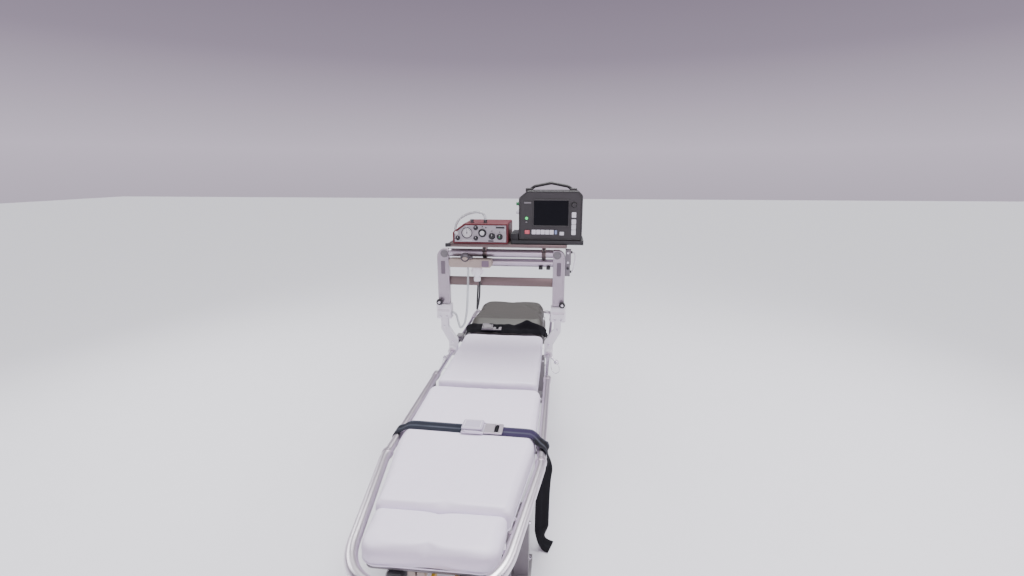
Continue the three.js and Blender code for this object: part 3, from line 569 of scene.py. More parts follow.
# Floor and soft light
stageSet = dict(
    floorHalf=20000.0, floorColor=(0.74, 0.725, 0.775),
    air=0.60, airStops=[(0.30, (0.30, 0.23, 0.34)), (0.52, (1.20, 1.06, 1.28)), (0.60, (0.60, 0.50, 0.66)),
                        (0.74, (0.26, 0.21, 0.30)), (0.90, (1.30, 1.30, 1.34))],
    sun=dict(power=3.6, angle=0.7, tint=(0.97, 1.0, 0.99), turn=(-0.36, 0.16, 0.0)),
    lamps=[  # name, place, what it looks at, width, height, watts, tint
        ("leftWindow", (-2.4, 0.5, 1.7), (0.0, -0.1, 0.4), 2.2, 1.0, 36.0, (0.98, 1.0, 1.0)),
        ("rightWindow", (2.5, 0.4, 1.7), (0.0, -0.1, 0.4), 2.2, 1.0, 34.0, (0.98, 0.97, 1.0)),
        ("ceilingPanel", (0.0, 0.5, 2.7), (0.0, -0.1, 0.4), 1.6, 1.6, 34.0, (1.0, 1.0, 1.0)),
        ("frontPanel", (0.5, -3.2, 1.7), (0.0, 0.3, 0.8), 2.4, 1.2, 40.0, (1.0, 0.88, 1.0)),
    ])


def makeStage(look):
    half = look["floorHalf"]
    floor = gridPiece("floor", np.array([[[-half, -half, 0.0], [half, -half, 0.0]],
                                         [[-half, half, 0.0], [half, half, 0.0]]]))
    cover = coated("paleFloor", look["floorColor"], 0.5, skin=0.05, skinScale=90.0, shade=0.97)
    floor.data.materials.append(cover.material)
    world = bpy.data.worlds.new("air")
    world.use_nodes = True
    bpy.context.scene.world = world
    nodes, links = world.node_tree.nodes, world.node_tree.links
    where = nodes.new("ShaderNodeTexCoord")
    parts = nodes.new("ShaderNodeSeparateXYZ")
    spread = nodes.new("ShaderNodeMapRange")
    spread.inputs["From Min"].default_value = -1.0
    ramp = nodes.new("ShaderNodeValToRGB")
    for _ in look["airStops"][2:]:
        ramp.color_ramp.elements.new(1.0)
    for stop, (spot, color) in zip(ramp.color_ramp.elements, look["airStops"]):
        stop.position = spot
        stop.color = (*color, 1.0)
    links.new(where.outputs["Generated"], parts.inputs[0])
    links.new(parts.outputs[2], spread.inputs[0])
    links.new(spread.outputs[0], ramp.inputs[0])
    links.new(ramp.outputs[0], nodes["Background"].inputs[0])
    nodes["Background"].inputs[1].default_value = look["air"]
    for name, place, target, width, height, watts, tint in look["lamps"]:
        data = bpy.data.lights.new(name, "AREA")
        data.shape = "RECTANGLE"
        data.size, data.size_y, data.energy, data.color = width, height, watts, tint
        lamp = bpy.data.objects.new(name, data)
        lamp.location = place
        lamp.rotation_euler = (Vector(target) - Vector(place)).to_track_quat("-Z", "Y").to_euler()
        bpy.context.scene.collection.objects.link(lamp)
    data = bpy.data.lights.new("softSun", "SUN")
    data.energy, data.angle, data.color = look["sun"]["power"], look["sun"]["angle"], look["sun"]["tint"]
    sun = bpy.data.objects.new("softSun", data)
    sun.rotation_euler = look["sun"]["turn"]
    bpy.context.scene.collection.objects.link(sun)


makeStage(stageSet)
print("stage made")

# Tubes: the foot loop with its rims, side rails with collars, thin rods, head tube, bridge tubes
tubeSet = dict(railX=229.0, railZ=330.0, loopRadius=15.0, rimRadius=17.5, loopCornerX=162.0, loopBendY=372.0,
               loopBend=150.0, railRadius=13.5, collarRadius=16.0, headRadius=11.0, headBend=80.0)


def makeTubes(look):
    x, z, radius = look["railX"], look["railZ"], look["loopRadius"]
    low, high = boxes["foot_loop"]
    right = np.array([[look["loopCornerX"], low[1] + radius, z], [x, look["loopBendY"], z], [x, high[1], z]])
    corners = np.concatenate([right[::-1] * (-1, 1, 1), right])
    loop = sweep("loop", evenly(bentPath(corners, look["loopBend"], 24), 200), circle(radius))
    rim = look["rimRadius"]
    ring = [(0, 0), (rim - 1.5, 0), (rim, 1.5), (rim, 10), (rim - 1.2, 11.4), (rim - 3, 12), (radius - 4, 12.2),
            (radius - 5, 10.5), (0, 10.5)]
    rims = [lathe("rim", ring, (side * x, high[1] - 12.2, z), (0, 1, 0)) for _, side in sides]
    built("foot_loop_tube", [loop, *rims], "litter", "aluminium", ["foot_loop"])
    for word, side in sides:
        node = "side_rail_" + word
        start, end = boxes[node][0, 1], boxes[node][1, 1]
        r, c, s = look["railRadius"], look["collarRadius"], end - start - 30
        profile = [(0, 0), (r - 1, 0), (r, 1), (r, s), (c - 0.4, s + 0.6), (c, s + 2), (c, s + 11),
                   (c - 1, s + 12.2), (c - 1, s + 16), (c, s + 17.2), (c, s + 27),
                   (c - 1.4, s + 29.2), (c - 4, s + 30), (0, s + 30)]
        rail = lathe("side_rail_tube_" + word, profile, (side * x, start, z), (0, 1, 0))
        finishPiece(rail, "litter", "aluminium", [node])
        node = "slide_rod_" + word
        low, high = boxes[node]
        middle = (low[0] + high[0]) / 2
        thin = rod("slide_rod_bar_" + word, (middle, low[1], z), (middle, high[1], z), 8.0)
        finishPiece(thin, "litter", "chrome", [node])
    low, high = boxes["head_tube"]
    r = look["headRadius"]
    leftX, rightX, farY = low[0] + r, high[0] - r, high[1] - r
    bent = [(leftX, low[1], z), (leftX, farY, z), (rightX, farY, z), (rightX, low[1], z)]
    head = sweep("head_tube_bar", evenly(bentPath(bent, look["headBend"], 20), 120), circle(r, 32))
    finishPiece(head, "litter", "aluminium", ["head_tube"])
    for node, slotName in (("top_tube", "aluminium"), ("low_tube", "white_paint")):
        low, high = boxes[node]
        middle = (low + high) / 2
        across = rod(node + "_bar", (low[0], *middle[1:]), (high[0], *middle[1:]), (high[2] - low[2]) / 2)
        finishPiece(across, "bridge", slotName, [node], "tubeMetal")


makeTubes(tubeSet)
print("tubes made")

# Mattress: pads start just inside their solids, swell in a cloth simulation and get their width back
mattress = dict(
    voxel=6.0, inside=1.0, cap=8.0, pressure=4.0, steps=20, smooth=5,
    pads=[  # node, right half of the outline, edge, crown, fill
        ("foot_pad", [(155, 0, 42), (163, 143.0, 14)], 18.0, 1.0, 0.85),
        ("leg_pad", [(168, 129.5, 18), (209, 430, 0), (209, 821, 28)], 20.0, 3.0, 0.8),
        ("torso_pad", [(194, 840, 24), (194, 1420, 32)], 11.0, 3.0, 0.8),
    ],
    strapSink=2.6, strapWidth=30.0, strapSlant=16.0, over=3.0, weltHeight=14.0)


# A pad's first form: from the middle of the underside out to the edge, up the side along quarter
# circles, and back to the middle of the top, which is crowned by crown (1 - s^2) at share s.
def padForm(name, corners, low, high, edge, crown):
    line = outline(corners, 220)
    middle = line.mean(0)
    normal = outwards(line)
    angle = np.linspace(0.0, np.pi / 2, 7)
    inset = edge * np.concatenate([0.6 * (1 - np.sin(angle)), 1 - np.cos(angle)])
    height = np.concatenate([low + 0.6 * edge * (1 - np.cos(angle)), high - edge * (1 - np.sin(angle))])
    side = line[None] - inset[:, None, None] * normal[None]
    share = np.linspace(0.0, 1.0, 16)[1:-1]
    under = middle + (side[0] - middle)[None] * share[:, None, None]
    over = middle + (side[-1] - middle)[None] * share[::-1, None, None]
    height = np.concatenate([np.full(len(share), low), height, high + crown * (1 - share[::-1] ** 2)])
    flat = np.concatenate([under, side, over])
    grid = np.concatenate([flat, np.broadcast_to(height[:, None, None], (*flat.shape[:2], 1))], -1)
    return gridPiece(name, grid, wrapCols=True, caps=True)


def applyModifiers(obj):
    bpy.context.view_layer.update()
    solid = obj.evaluated_get(bpy.context.evaluated_depsgraph_get())
    mesh = bpy.data.meshes.new_from_object(solid)
    obj.modifiers.clear()
    obj.data = mesh


# Remeshes the form, lets pressure swell it, and holds each point within cap of where it began.
def swell(obj, look, floor, ceiling, cap):
    remesh = obj.modifiers.new("even", "REMESH")
    remesh.mode = "VOXEL"
    remesh.voxel_size = look["voxel"] * 0.001
    applyModifiers(obj)
    points = pointsOf(obj)
    cloth = obj.modifiers.new("cloth", "CLOTH")
    cloth.settings.quality = 5
    cloth.settings.mass = 0.35
    cloth.settings.tension_stiffness = cloth.settings.compression_stiffness = 25.0
    cloth.settings.shear_stiffness = 12.0
    cloth.settings.bending_stiffness = 4.0
    cloth.settings.use_pressure = True
    cloth.settings.uniform_pressure_force = look["pressure"]
    cloth.settings.effector_weights.gravity = 0.0
    cloth.point_cache.frame_start = 1
    cloth.point_cache.frame_end = look["steps"]
    for step in range(1, look["steps"] + 1):
        bpy.context.scene.frame_set(step)
    applyModifiers(obj)
    bpy.context.scene.frame_set(1)
    moved = pointsOf(obj) - points
    length = np.maximum(np.linalg.norm(moved, axis=1), 1e-9)[:, None]
    points = points + moved * np.minimum(1.0, cap / length)
    points[:, 2] = np.clip(points[:, 2], floor, ceiling)
    movePoints(obj, points)
    soften = obj.modifiers.new("soften", "SMOOTH")
    soften.factor = 0.5
    soften.iterations = look["smooth"]
    split = obj.modifiers.new("fine", "SUBSURF")
    split.levels = split.render_levels = 1
    applyModifiers(obj)
    return tidyMesh(obj)


# Presses a soft trough into the top: depth times a bell curve of the distance from the line a to b.
def press(points, a, b, width, depth, fade=0.0):
    a, b = np.array(a, float), np.array(b, float)
    run = b - a
    t = np.clip(((points[:, :2] - a) @ run) / (run @ run), 0.0, 1.0)
    away = np.linalg.norm(points[:, :2] - (a + t[:, None] * run), axis=1)
    ends = np.clip(np.minimum(t, 1 - t) / fade, 0, 1) if fade else 1.0
    points[:, 2] -= depth * np.exp(-(away / width) ** 2) * ends * (points[:, 2] > 335.0)


def insideCorners(corners, by):
    line = np.array([corner[:2] for corner in corners], float)
    middle = (line.max(0) + line.min(0)) / 2
    size = np.abs(line - middle).max(0)
    moved = middle + (line - middle) * (1 - by / size)
    return [(x, y, max(corner[2] - by, 0.0)) for (x, y), corner in zip(moved, corners)]


# A welt of piping round a pad, at the height of its side seam
def welt(name, corners, height, body, slotName):
    line = outline(corners, 260)
    path = np.concatenate([line, np.full((len(line), 1), height)], -1)
    run = unit(np.roll(path, -1, axis=0) - np.roll(path, 1, axis=0))
    side = np.cross(run, (0.0, 0.0, 1.0))
    ring = circle(1.5, 10)
    grid = path[:, None] + ring[None, :, :1] * side[:, None] + ring[None, :, 1:] * np.array([0.0, 0.0, 1.0])
    return finishPiece(gridPiece(name, grid, wrapRows=True, wrapCols=True), body, slotName, crisp=False)


def makePads(look):
    for node, half, edge, crown, fill in look["pads"]:
        corners = mirrored(half)
        low, high = boxes[node]
        inside = look["inside"]
        pad = padForm(node + "_cover", insideCorners(corners, inside), low[2] + 1, high[2] - inside, edge, crown)
        swell(pad, look, low[2], high[2] + look["over"], look["cap"])
        points = pointsOf(pad)
        points[:, 0] *= max(corner[0] for corner in half) / np.abs(points[:, 0]).max()  # back to its full width
        if node == "leg_pad":
            y = boxes["leg_strap"][:, 1].mean()
            press(points, (low[0], y + look["strapSlant"]), (high[0], y), look["strapWidth"], look["strapSink"])
        movePoints(pad, points)
        finishPiece(pad, "litter", "vinyl", [node], crisp=False)
        welt(node + "_welt", insideCorners(corners, 1.5), low[2] + look["weltHeight"], "litter", "vinyl")


makePads(mattress)
print("mattress made")

# The head pad is a wedge: its top slopes down to the near edge and rounds off at the far one.
headPadSet = dict(
    half=[(195, 1462, 28), (187, 1835, 34), (158, 1925, 56)], inside=3.0, edge=26.0, crown=3.0, slope=26.0,
                  slopeStart=1475.0, slopeEnd=1560.0, droop=8.0, droopStart=1860.0, cap=9.0)


def makeHeadPad(look, swelling):
    low, high = boxes["head_pad"]
    corners = mirrored(look["half"])
    pad = padForm("head_pad_cover", insideCorners(corners, look["inside"]), low[2] + 1, high[2] - look["inside"],
                  look["edge"], look["crown"])
    points = pointsOf(pad)
    share = (points[:, 2] - low[2]) / (high[2] - low[2])
    slope = look["slopeEnd"] - look["slopeStart"]
    near = np.clip((look["slopeEnd"] - points[:, 1]) / slope, 0.0, 1.2) * look["slope"]
    far = np.clip((points[:, 1] - look["droopStart"]) / 60.0, 0.0, 1.0) ** 2 * look["droop"]
    points[:, 2] -= share * (near + far)
    movePoints(pad, points)
    swell(pad, swelling, low[2], high[2] + swelling["over"], look["cap"])
    points = pointsOf(pad)
    press(points, (60, 1840), (165, 1660), 13.0, 3.2, 0.2)
    press(points, (-160, 1600), (-40, 1560), 14.0, 2.0, 0.2)
    movePoints(pad, points)
    finishPiece(pad, "headrest", "head_vinyl", ["head_pad"], crisp=False)
    welt("head_pad_welt", insideCorners(corners, 1.5), low[2] + 22.0, "headrest", "head_vinyl")


makeHeadPad(headPadSet, mattress)
print("head pad made")

# Leg strap: one line over the pad and both rails, whose spare end hangs down at the right
legStrap = dict(
    width=52.0, thick=2.6, middle=495.0,
    right=[(0, 495, 364.3), (60, 495, 364.4), (130, 495, 364.4), (180, 495, 364.2), (195, 494, 362.8),
           (206, 490, 358.0), (216, 483, 351.6), (225, 475, 347.4), (233.5, 467, 345.0), (241, 460, 340),
           (245, 455, 332), (246, 452, 320)],
    tail=[(246, 452, 320), (245.8, 451, 304), (243.4, 452, 276), (238, 455, 236), (234.5, 457, 180),
          (233, 457, 110), (232.6, 456, 50), (233.0, 455, 26), (236, 454, 13), (242, 452, 6.5),
          (250, 449, 3.8), (262, 445, 3.2)],
    slant=18.0, slantFrom=180.0, slantRun=426.0, twist=0.95, twistHigh=322.0, twistLow=255.0, untwist=60.0)


def makeLegStrap(look):
    right = np.array(look["right"], float)
    left = right[::-1] * (-1, 1, 1)
    left[:, 1] = look["middle"]
    path = smoothPath(np.concatenate([left[:-1], right]), 240)
    path[:, 1] += look["slant"] * np.clip((look["slantFrom"] - path[:, 0]) / look["slantRun"], 0.0, 1.0)
    strap = sweep("leg_strap_band", path, band(look["width"], look["thick"]), (0.0, 1.0, 0.0))
    finishPiece(strap, "litter", "webbing", ["leg_strap"], "strapWebbing", crisp=False)
    path = smoothPath(look["tail"], 150)
    share = np.clip((look["twistHigh"] - path[:, 2]) / (look["twistHigh"] - look["twistLow"]), 0.0, 1.0)
    turn = look["twist"] * share ** 2 * (3 - 2 * share) * np.clip(path[:, 2] / look["untwist"], 0.2, 1.0)
    guide = np.stack([np.sin(turn), np.cos(turn), np.zeros(len(turn))], -1)
    tail = sweep("leg_strap_end", path, band(look["width"], look["thick"]), guide)
    finishPiece(tail, "litter", "webbing", ["leg_strap_tail"], crisp=False)


makeLegStrap(legStrap)

# Leg buckle: a steel body with side walls and a lilac lift lever, and a slotted tongue beside it
legBuckle = dict(left=-22.0, right=48.0, front=470.0, back=534.0, low=366.2, high=383.0,
                 tongueRight=106.0, tongueHigh=371.5, tongueFront=474.0, tongueBack=531.0,
                 slot=(80.0, 93.0, 481.0, 524.0), middle=502.0)


def makeLegBuckle(look):
    left, right, front, back = look["left"], look["right"], look["front"], look["back"]
    low, high = look["low"], look["high"]
    parts = [plate("floor", rect(left, right, front, back, 5), low, low + 3, 0.9)]
    for y in (front, back - 3.2):
        wall = [(left + 3, low + 1, 0.5), (right, low + 1, 0.5), (right, low + 7, 3), (right - 16, high - 6, 4),
                (left + 9, high - 6, 4), (left + 3, low + 7, 3)]
        parts.append(upright("wall", wall, y, y + 3.2, 0.7))
    parts.append(rod("hinge", (left + 12, front, high - 8), (left + 12, back, high - 8), 3.0))
    built("leg_buckle_body", parts, "litter", "chrome", ["leg_buckle"], "buckleSteel")
    lid = plate("leg_buckle_lever", rect(left + 1, right - 3, front + 3.6, back - 3.6, 7), high - 6.5, high, 2.6,
                steps=6)
    finishPiece(lid, "litter", "chrome", look="lilacLid")
    ridge = ringPlate("leg_buckle_rim", rect(left + 6, right - 9, front + 9, back - 9, 5), 3.2, high - 0.6,
                      high + 0.7, 0.4)
    finishPiece(ridge, "litter", "chrome", look="buckleSteel")
    a, b, c, d = look["slot"]
    near, far, top, y = look["tongueFront"], look["tongueBack"], look["tongueHigh"], look["middle"]
    tongue = [rect(right + 0.4, a, near, far, 2), rect(b, look["tongueRight"], near, far, 4),
              rect(a - 4, b + 4, near, c, 2), rect(a - 4, b + 4, d, far, 2)]
    frameParts = [plate("tongue", corners, low, top, 1.2) for corners in tongue]
    built("leg_buckle_plate", frameParts, "litter", "chrome", ["leg_buckle_tongue"], "tubeMetal")
    path = smoothPath([(75, y, 365.0), (81, y, 366.6), (84.5, y, 370.6), (87.5, y, 372.4), (90.5, y, 370.6),
                       (94, y, 366.6), (100, y, 365.0)], 30)
    fold = sweep("leg_strap_fold", path, band(39.0, 2.0), (0.0, 1.0, 0.0))
    finishPiece(fold, "litter", "webbing", crisp=False)


makeLegBuckle(legBuckle)
print("leg strap made")

# Head strap: thin crumpled webbing across the near edge of the head pad, with its buckle
headStrap = dict(width=48.0, thick=2.2, y=1470.0, z=371.0, reach=198.0, rise=1.1,
                 wingAt=112.0, wingHigh=46.0, wingWide=40.0)


# Wrinkles: z grows by a sum of sines, and the far edge stands up in a bell curve at wingAt.
def crumple(grid, look):
    x, y = grid[..., 0], grid[..., 1]
    across = (y - look["y"]) / (look["width"] / 2)
    inside = np.clip((look["reach"] - np.abs(x)) / 20.0, 0.0, 1.0)
    waves = 1.8 * np.sin(x / 13.0 + 1.4 * across) + 1.2 * np.sin(x / 7.3 - 2.1 * across + 0.7)
    bell = np.exp(-((x - look["wingAt"]) / look["wingWide"]) ** 2)
    wing = look["wingHigh"] * bell * np.clip(across, 0, 1.2) ** 1.5
    flap = 5.0 * np.exp(-((x + 30.0) / 30.0) ** 2) * np.clip(across, 0, 1) ** 2
    out = grid.copy()
    out[..., 2] += inside * (waves + 2.2 + wing + flap)
    out[..., 1] += inside * 1.6 * np.sin(x / 19.0 + 0.5)
    return out


def makeHeadStrap(look):
    y, z = look["y"], look["z"]
    right = [(0, y, z), (120, y, z), (172, y, z - 1), (186, y, z - 4), (195, y, z - 11), (199, y, z - 20),
             (199.6, y, 342)]
    left = [(-x, spotY, spotZ) for x, spotY, spotZ in right[::-1]]
    path = smoothPath(left[:-1] + right, 300)
    strap = sweep("head_strap_band", path, band(look["width"], look["thick"], 24), (0.0, 1.0, look["rise"]),
                  bulge=lambda grid: crumple(grid, look))
    finishPiece(strap, "headrest", "webbing", ["head_strap"], crisp=False)
    ends = smoothPath([(197, y + 18, 356), (203, y + 10, 350), (206, y - 6, 338), (206, y - 12, 318),
                       (205, y - 14, 296)], 60)
    hanging = sweep("head_strap_end", ends, band(38.0, look["thick"], 12), (0.2, 1.0, 0.0),
                    bulge=lambda grid: grid + np.sin(grid[..., 2:] / 9.0 + grid[..., 1:2] / 11.0) * (1.2, 0.0, 0.0))
    finishPiece(hanging, "headrest", "webbing", crisp=False)


headBuckle = dict(slope=14.0, centre=(0.0, 1474.0, 373.0), bodyLong=58.0, half=26.0, tongueHalf=24.0, low=3.4)


def makeHeadBuckle(look):
    low, high = boxes["head_buckle"]
    slope = np.radians(look["slope"])
    tilt = np.array([[1.0, 0.0, 0.0], [0.0, np.cos(slope), np.sin(slope)], [0.0, -np.sin(slope), np.cos(slope)]])
    centre = np.array(look["centre"])

    def laid(obj):
        movePoints(obj, pointsOf(obj) @ tilt + centre)
        return obj

    left, right, half = low[0], low[0] + look["bodyLong"], look["half"]
    reach, under = look["tongueHalf"], look["low"]
    parts = [plate("floor", rect(left, right, -half, half, 5), under, under + 3.0, 0.9)]
    for y in (-half, half - 3.0):
        parts.append(upright("wall", [(left + 2, 4, 0.5), (right, 4, 0.5), (right, 9, 2), (right - 12, 13, 3),
                                      (left + 8, 13, 3), (left + 2, 9, 2)], y, y + 3.0, 0.6))
    parts.append(plate("lever", rect(left + 1.5, right - 2, -half + 3.4, half - 3.4, 5), 9.0, 14.6, 2.2, steps=5))
    tongue = [rect(right + 1, right + 14, -reach, reach, 2), rect(high[0] - 14, high[0], -reach, reach, 4)]
    tongue += [rect(right + 8, high[0] - 8, y, y + 6, 2) for y in (-reach, reach - 6)]
    parts += [plate("tongue", corners, under, under + 3.8, 0.9) for corners in tongue]
    finishPiece(laid(joined("head_buckle_body", parts)), "headrest", "chrome", ["head_buckle"], "greySteel")
    ridge = laid(ringPlate("head_buckle_rim", rect(left + 7, right - 8, -half + 8, half - 8, 4), 2.6, 14.2, 15.4,
                           0.4))
    finishPiece(ridge, "headrest", "chrome", look="darkMetal")


makeHeadStrap(headStrap)
makeHeadBuckle(headBuckle)
print("head strap made")

# Foot end: brackets with bolts, cream blocks, clip beside the pad, release handle and side lever
footSet = dict(
    brackets=(-72.0, 88.0), boltShift=9.0, blocks=(-38.0, -16.0), blockBox=(14.0, 40.0, 268.0, 293.0),
    gripEnds=(12.0, 64.0), gripY=-14.0, gripZ=283.0, gripRadius=8.0, gripBack=219.4,
    rib=[(7.6, -1.6), (9.0, -0.7), (9.0, 0.7), (7.6, 1.6), (7.6, -1.6)], ribs=(22.0, 54.0, 7),
    lever=[(105.3, 260.5, 1), (111.3, 260.5, 3), (152, 275, 6), (152, 290, 6), (140, 290, 5), (105.3, 275.5, 2)],
    leverFront=26.0, leverBack=34.0)


def makeFootEnd(look):
    heads = []
    shifts = (-look["boltShift"], look["boltShift"])
    for x in look["brackets"]:
        heads += [((x + shift, 2.4, 280.0), (0, -1, 0), 4.2) for shift in shifts]
        heads += [((x + shift, 40.0, 261.8), (0, 0, -1), 3.6) for shift in shifts]
    bolts("foot_bracket_bolts", "litter", heads)
    front, back, low, high = look["blockBox"]
    blocks = [upright("block", rect(x - 9, x + 9, low, high, 3), front, back, 1.6) for x in look["blocks"]]
    built("foot_blocks", blocks, "litter", "cream")
    (left, right), y, z, far = look["gripEnds"], look["gripY"], look["gripZ"], look["gripBack"]
    grips = [rod("grip", (left, y, z), (right, y, z), look["gripRadius"], 2.5)]
    grips += [plate("gripArm", [(x - 4, y - 5, 3), (x + 4, y - 5, 3), (x + 4, far, 1), (x - 4, far, 1)],
                    z - 9, z + 9, 1.6) for x in (left, right)]
    grips += [lathe("rib", look["rib"], (x, y, z), (1, 0, 0)) for x in np.linspace(*look["ribs"])]
    built("release_handle_grip", grips, "litter", "yellow_paint", ["release_handle"])
    lever = upright("side_lever_bar", look["lever"], look["leverFront"], look["leverBack"], 1.8)
    finishPiece(lever, "litter", "yellow_paint", ["side_lever"])
    clip = [upright("clip", rect(150, 164, 297, 325, 4), 84, 90, 1.4),
            plate("clipFoot", rect(140, 168, 78, 100, 4), 296.5, 300.0, 0.8),
            rod("clipPin", (157, 90, 316), (157, 80, 316), 4.0)]
    built("side_clip", clip, "litter", "chrome")
    foot = plate("side_clip_foot", rect(146, 168, 74, 104, 3), 286.0, 296.4, 1.5)
    finishPiece(foot, "litter", "black_plastic")


makeFootEnd(footSet)
print("foot end made")

# Bridge posts: an extrusion with two edge ribs, a slot with a grey lining and a round plug
postSet = dict(x=263.0, width=54.0, front=1279.0, back=1311.0, low=549.3, high=808.0, corner=34.0,
               slot=(-9.5, 9.5, 692.0, 752.0), plugX=255.0, plugZ=786.0, plugRadius=18.0)


def makePosts(look):
    for word, side in sides:
        inner, outer = side * (look["x"] - look["width"] / 2), side * (look["x"] + look["width"] / 2)
        corners = [(inner, look["low"], 5), (outer, look["low"], 5), (outer, look["high"], look["corner"]),
                   (inner, look["high"], 5)]
        parts = [upright("post", corners[::int(side)], look["front"] + 1.4, look["back"], 4.0)]
        for shift, top in ((-22.5, look["high"] - 3), (22.5, look["high"] - look["corner"])):
            middle = side * (look["x"] + shift)
            rib = rect(middle - 4.5, middle + 4.5, look["low"] + 1, top, 3)
            parts.append(upright("rib", rib, look["front"], look["front"] + 8, 2.0))
        a, b, c, d = look["slot"]
        middle = side * look["x"]
        parts.append(ringPlate("slotFrame", rect(middle + a - 3, middle + b + 3, c - 3, d + 3, 6), 3.0,
                               -look["front"] - 2.0, -look["front"] - 0.2, 0.5, standing))
        built("bridge_post_bar_" + word, parts, "bridge", "aluminium", ["bridge_post_" + word], "postMetal")
        lining = upright("bridge_post_slot_" + word, rect(middle + a, middle + b, c, d, 4), look["front"] + 0.9,
                         look["front"] + 3, 0.3)
        finishPiece(lining, "bridge", "black_plastic", look="slotGrey")
        r = look["plugRadius"]
        cap = [(0, 4.4), (r - 8, 4.4), (r - 6.5, 3.4), (r - 3, 3.4), (r - 1.5, 4.4), (r - 0.6, 4.2), (r, 3.0),
               (r, -1.0), (0, -1)]
        plug = lathe("bridge_post_plug_" + word, cap, (side * look["plugX"], look["front"] + 1.4, look["plugZ"]),
                     (0, -1, 0))
        finishPiece(plug, "bridge", "aluminium", look="greyKey")


makePosts(postSet)

# Knobs, locking pins and the small things on the arms
gripSet = dict(
    knobX=281.0, knobY=1278.7, knobZ=563.0, knobRadius=14.0, pinY=1252.0, rodX=224.0, railZ=330.0,
    knobCap=[(0, 27.2), (5, 26.8), (6.5, 25.4), (6.5, 24.0), (0, 24.0)],
    pin=[(0, 20.4), (6, 20.4), (6, 24), (4, 25), (4, 44), (6.5, 45), (10, 46.5), (10, 55), (8.5, 57), (0, 57)],
    lanyard=[(52, -6, -78), (34, -2, -92), (16, 6, -74), (12, 12, -40), (12, 14, -17)],
    bush=[(8.6, 0), (16, 0), (17, -1), (17, -3), (15, -4), (10.5, -4), (8.6, -3), (8.6, 0)], bushY=1242.0,
    strip=(265.0, 28.0, 516.0, 527.0), armBolts=[(250, 1265.8, 492, 4.0), (280, 1265.8, 492, 4.0),
                                                 (224, 1264.6, 372, 3.6), (262, 1264.6, 446, 3.6)])


def makeGrips(look):
    for word, side in sides:
        at = (side * look["knobX"], look["knobY"], look["knobZ"])
        r = look["knobRadius"]
        body = lathe("knob", [(0, 8), (9, 8), (r - 1.5, 10), (r, 12), (r, 22), (r - 1.5, 25), (r - 5, 26), (0, 26)],
                     at, (0, -1, 0), 96, lambda angle: 0.035 * np.sin(12 * angle))
        neck = lathe("neck", [(0, 0), (7, 0), (5, 3), (5, 9), (0, 9)], at, (0, -1, 0))
        built("clamp_knob_grip_" + word, [body, neck], "bridge", "black_plastic", ["clamp_knob_" + word])
        cap = lathe("clamp_knob_cap_" + word, look["knobCap"], at, (0, -1, 0))
        finishPiece(cap, "bridge", "chrome")
        out = np.array([side, 0.0, -1.0]) / np.sqrt(2.0)
        centre = np.array([side * look["rodX"], look["pinY"], look["railZ"]])
        pin = lathe("pin", look["pin"], centre, out, 72, lambda angle: 0.05 * np.sin(9 * angle))
        loop = circle(5.2, 32)
        spots = centre + out * 61.0 + loop[:, :1] * out + loop[:, 1:] * np.cross(out, (0.0, 1.0, 0.0))
        pull = sweep("pull", np.concatenate([spots, spots[:1]]), circle(1.1, 10), (0.0, 1.0, 0.0))
        built("locking_pin_head_" + word, [pin, pull], "bridge", "chrome", ["locking_pin_" + word])
        turned = [centre + (side * x, y, z) for x, y, z in look["lanyard"]]
        hang = smoothPath([centre + out * 62, centre + out * 62 + (side * 6, -4, -14), *turned], 60)
        cable = sweep("pin_lanyard_" + word, hang, circle(1.2, 10), (0.0, 1.0, 0.0))
        finishPiece(cable, "bridge", "chrome", crisp=False)
        middle, half, low, high = look["strip"]
        strip = upright("arm_strip_" + word, rect(side * middle - half, side * middle + half, low, high, 2),
                        1265.0, 1267.0, 0.6)
        finishPiece(strip, "bridge", "aluminium")
        bush = lathe("arm_bush_" + word, look["bush"], (side * look["rodX"], look["bushY"], look["railZ"]),
                     (0, 1, 0))
        finishPiece(bush, "bridge", "aluminium")
        heads = [((side * x, y, z), (0, -1, 0), size) for x, y, z, size in look["armBolts"]]
        bolts("arm_bolts_" + word, "bridge", heads)


makeGrips(gripSet)
print("posts and grips made")

# Ventilator: grey panel in the red rim, gauge, knobs, bare plates, back with vents and inlets
ventilator = dict(
    panelFront=1227.7, front=1232.0, back=1415.0, grooves=(1262.0, 1390.0), middle=(-80.5, 0.0, 884.6),
    inlets=[(24, 872, 16, 8.0), (-182, 862, 14, 9.0)],  # place across and up, length, radius
    vents=(-150, 15, 9, 862, 905, 4), screws=[(-187, 856), (26, 856), (26, 901), (-140, 915)],
    hose=[(-62, 1258, 942), (-66, 1260, 962), (-92, 1268, 974), (-140, 1284, 966), (-186, 1300, 940),
          (-207, 1312, 905), (-210, 1320, 875), (-206, 1326, 856), (-206, 1330, 842)],
    shape=[(-202, 840.3, 8), (41, 840.3, 8), (41, 929, 8), (-150, 929, 10), (-202, 891, 10)],
    face=[(-194, 848.3, 1), (33, 848.3, 1), (33, 921, 1), (-146, 921, 1), (-194, 886, 1)],
    gauge=(-139.0, 888.0, 24.0), ring=(-186.0, 887.0, 8.0), selector=(-71.0, 888.0, 17.0),
    knobs=[(-180, 865, 9), (-100, 910, 9), (-100, 865, 9), (-29, 874, 13), (5, 872, 12)],
    lamps=[(-71, 915, 3.0), (-55, 911, 3.0), (-29, 897, 2.4), (5, 893, 2.4)],
    darkPlates=[(-12, 26, 908, 916), (-46, -22, 851, 856)], palePlate=(-160, -118, 853, 858))


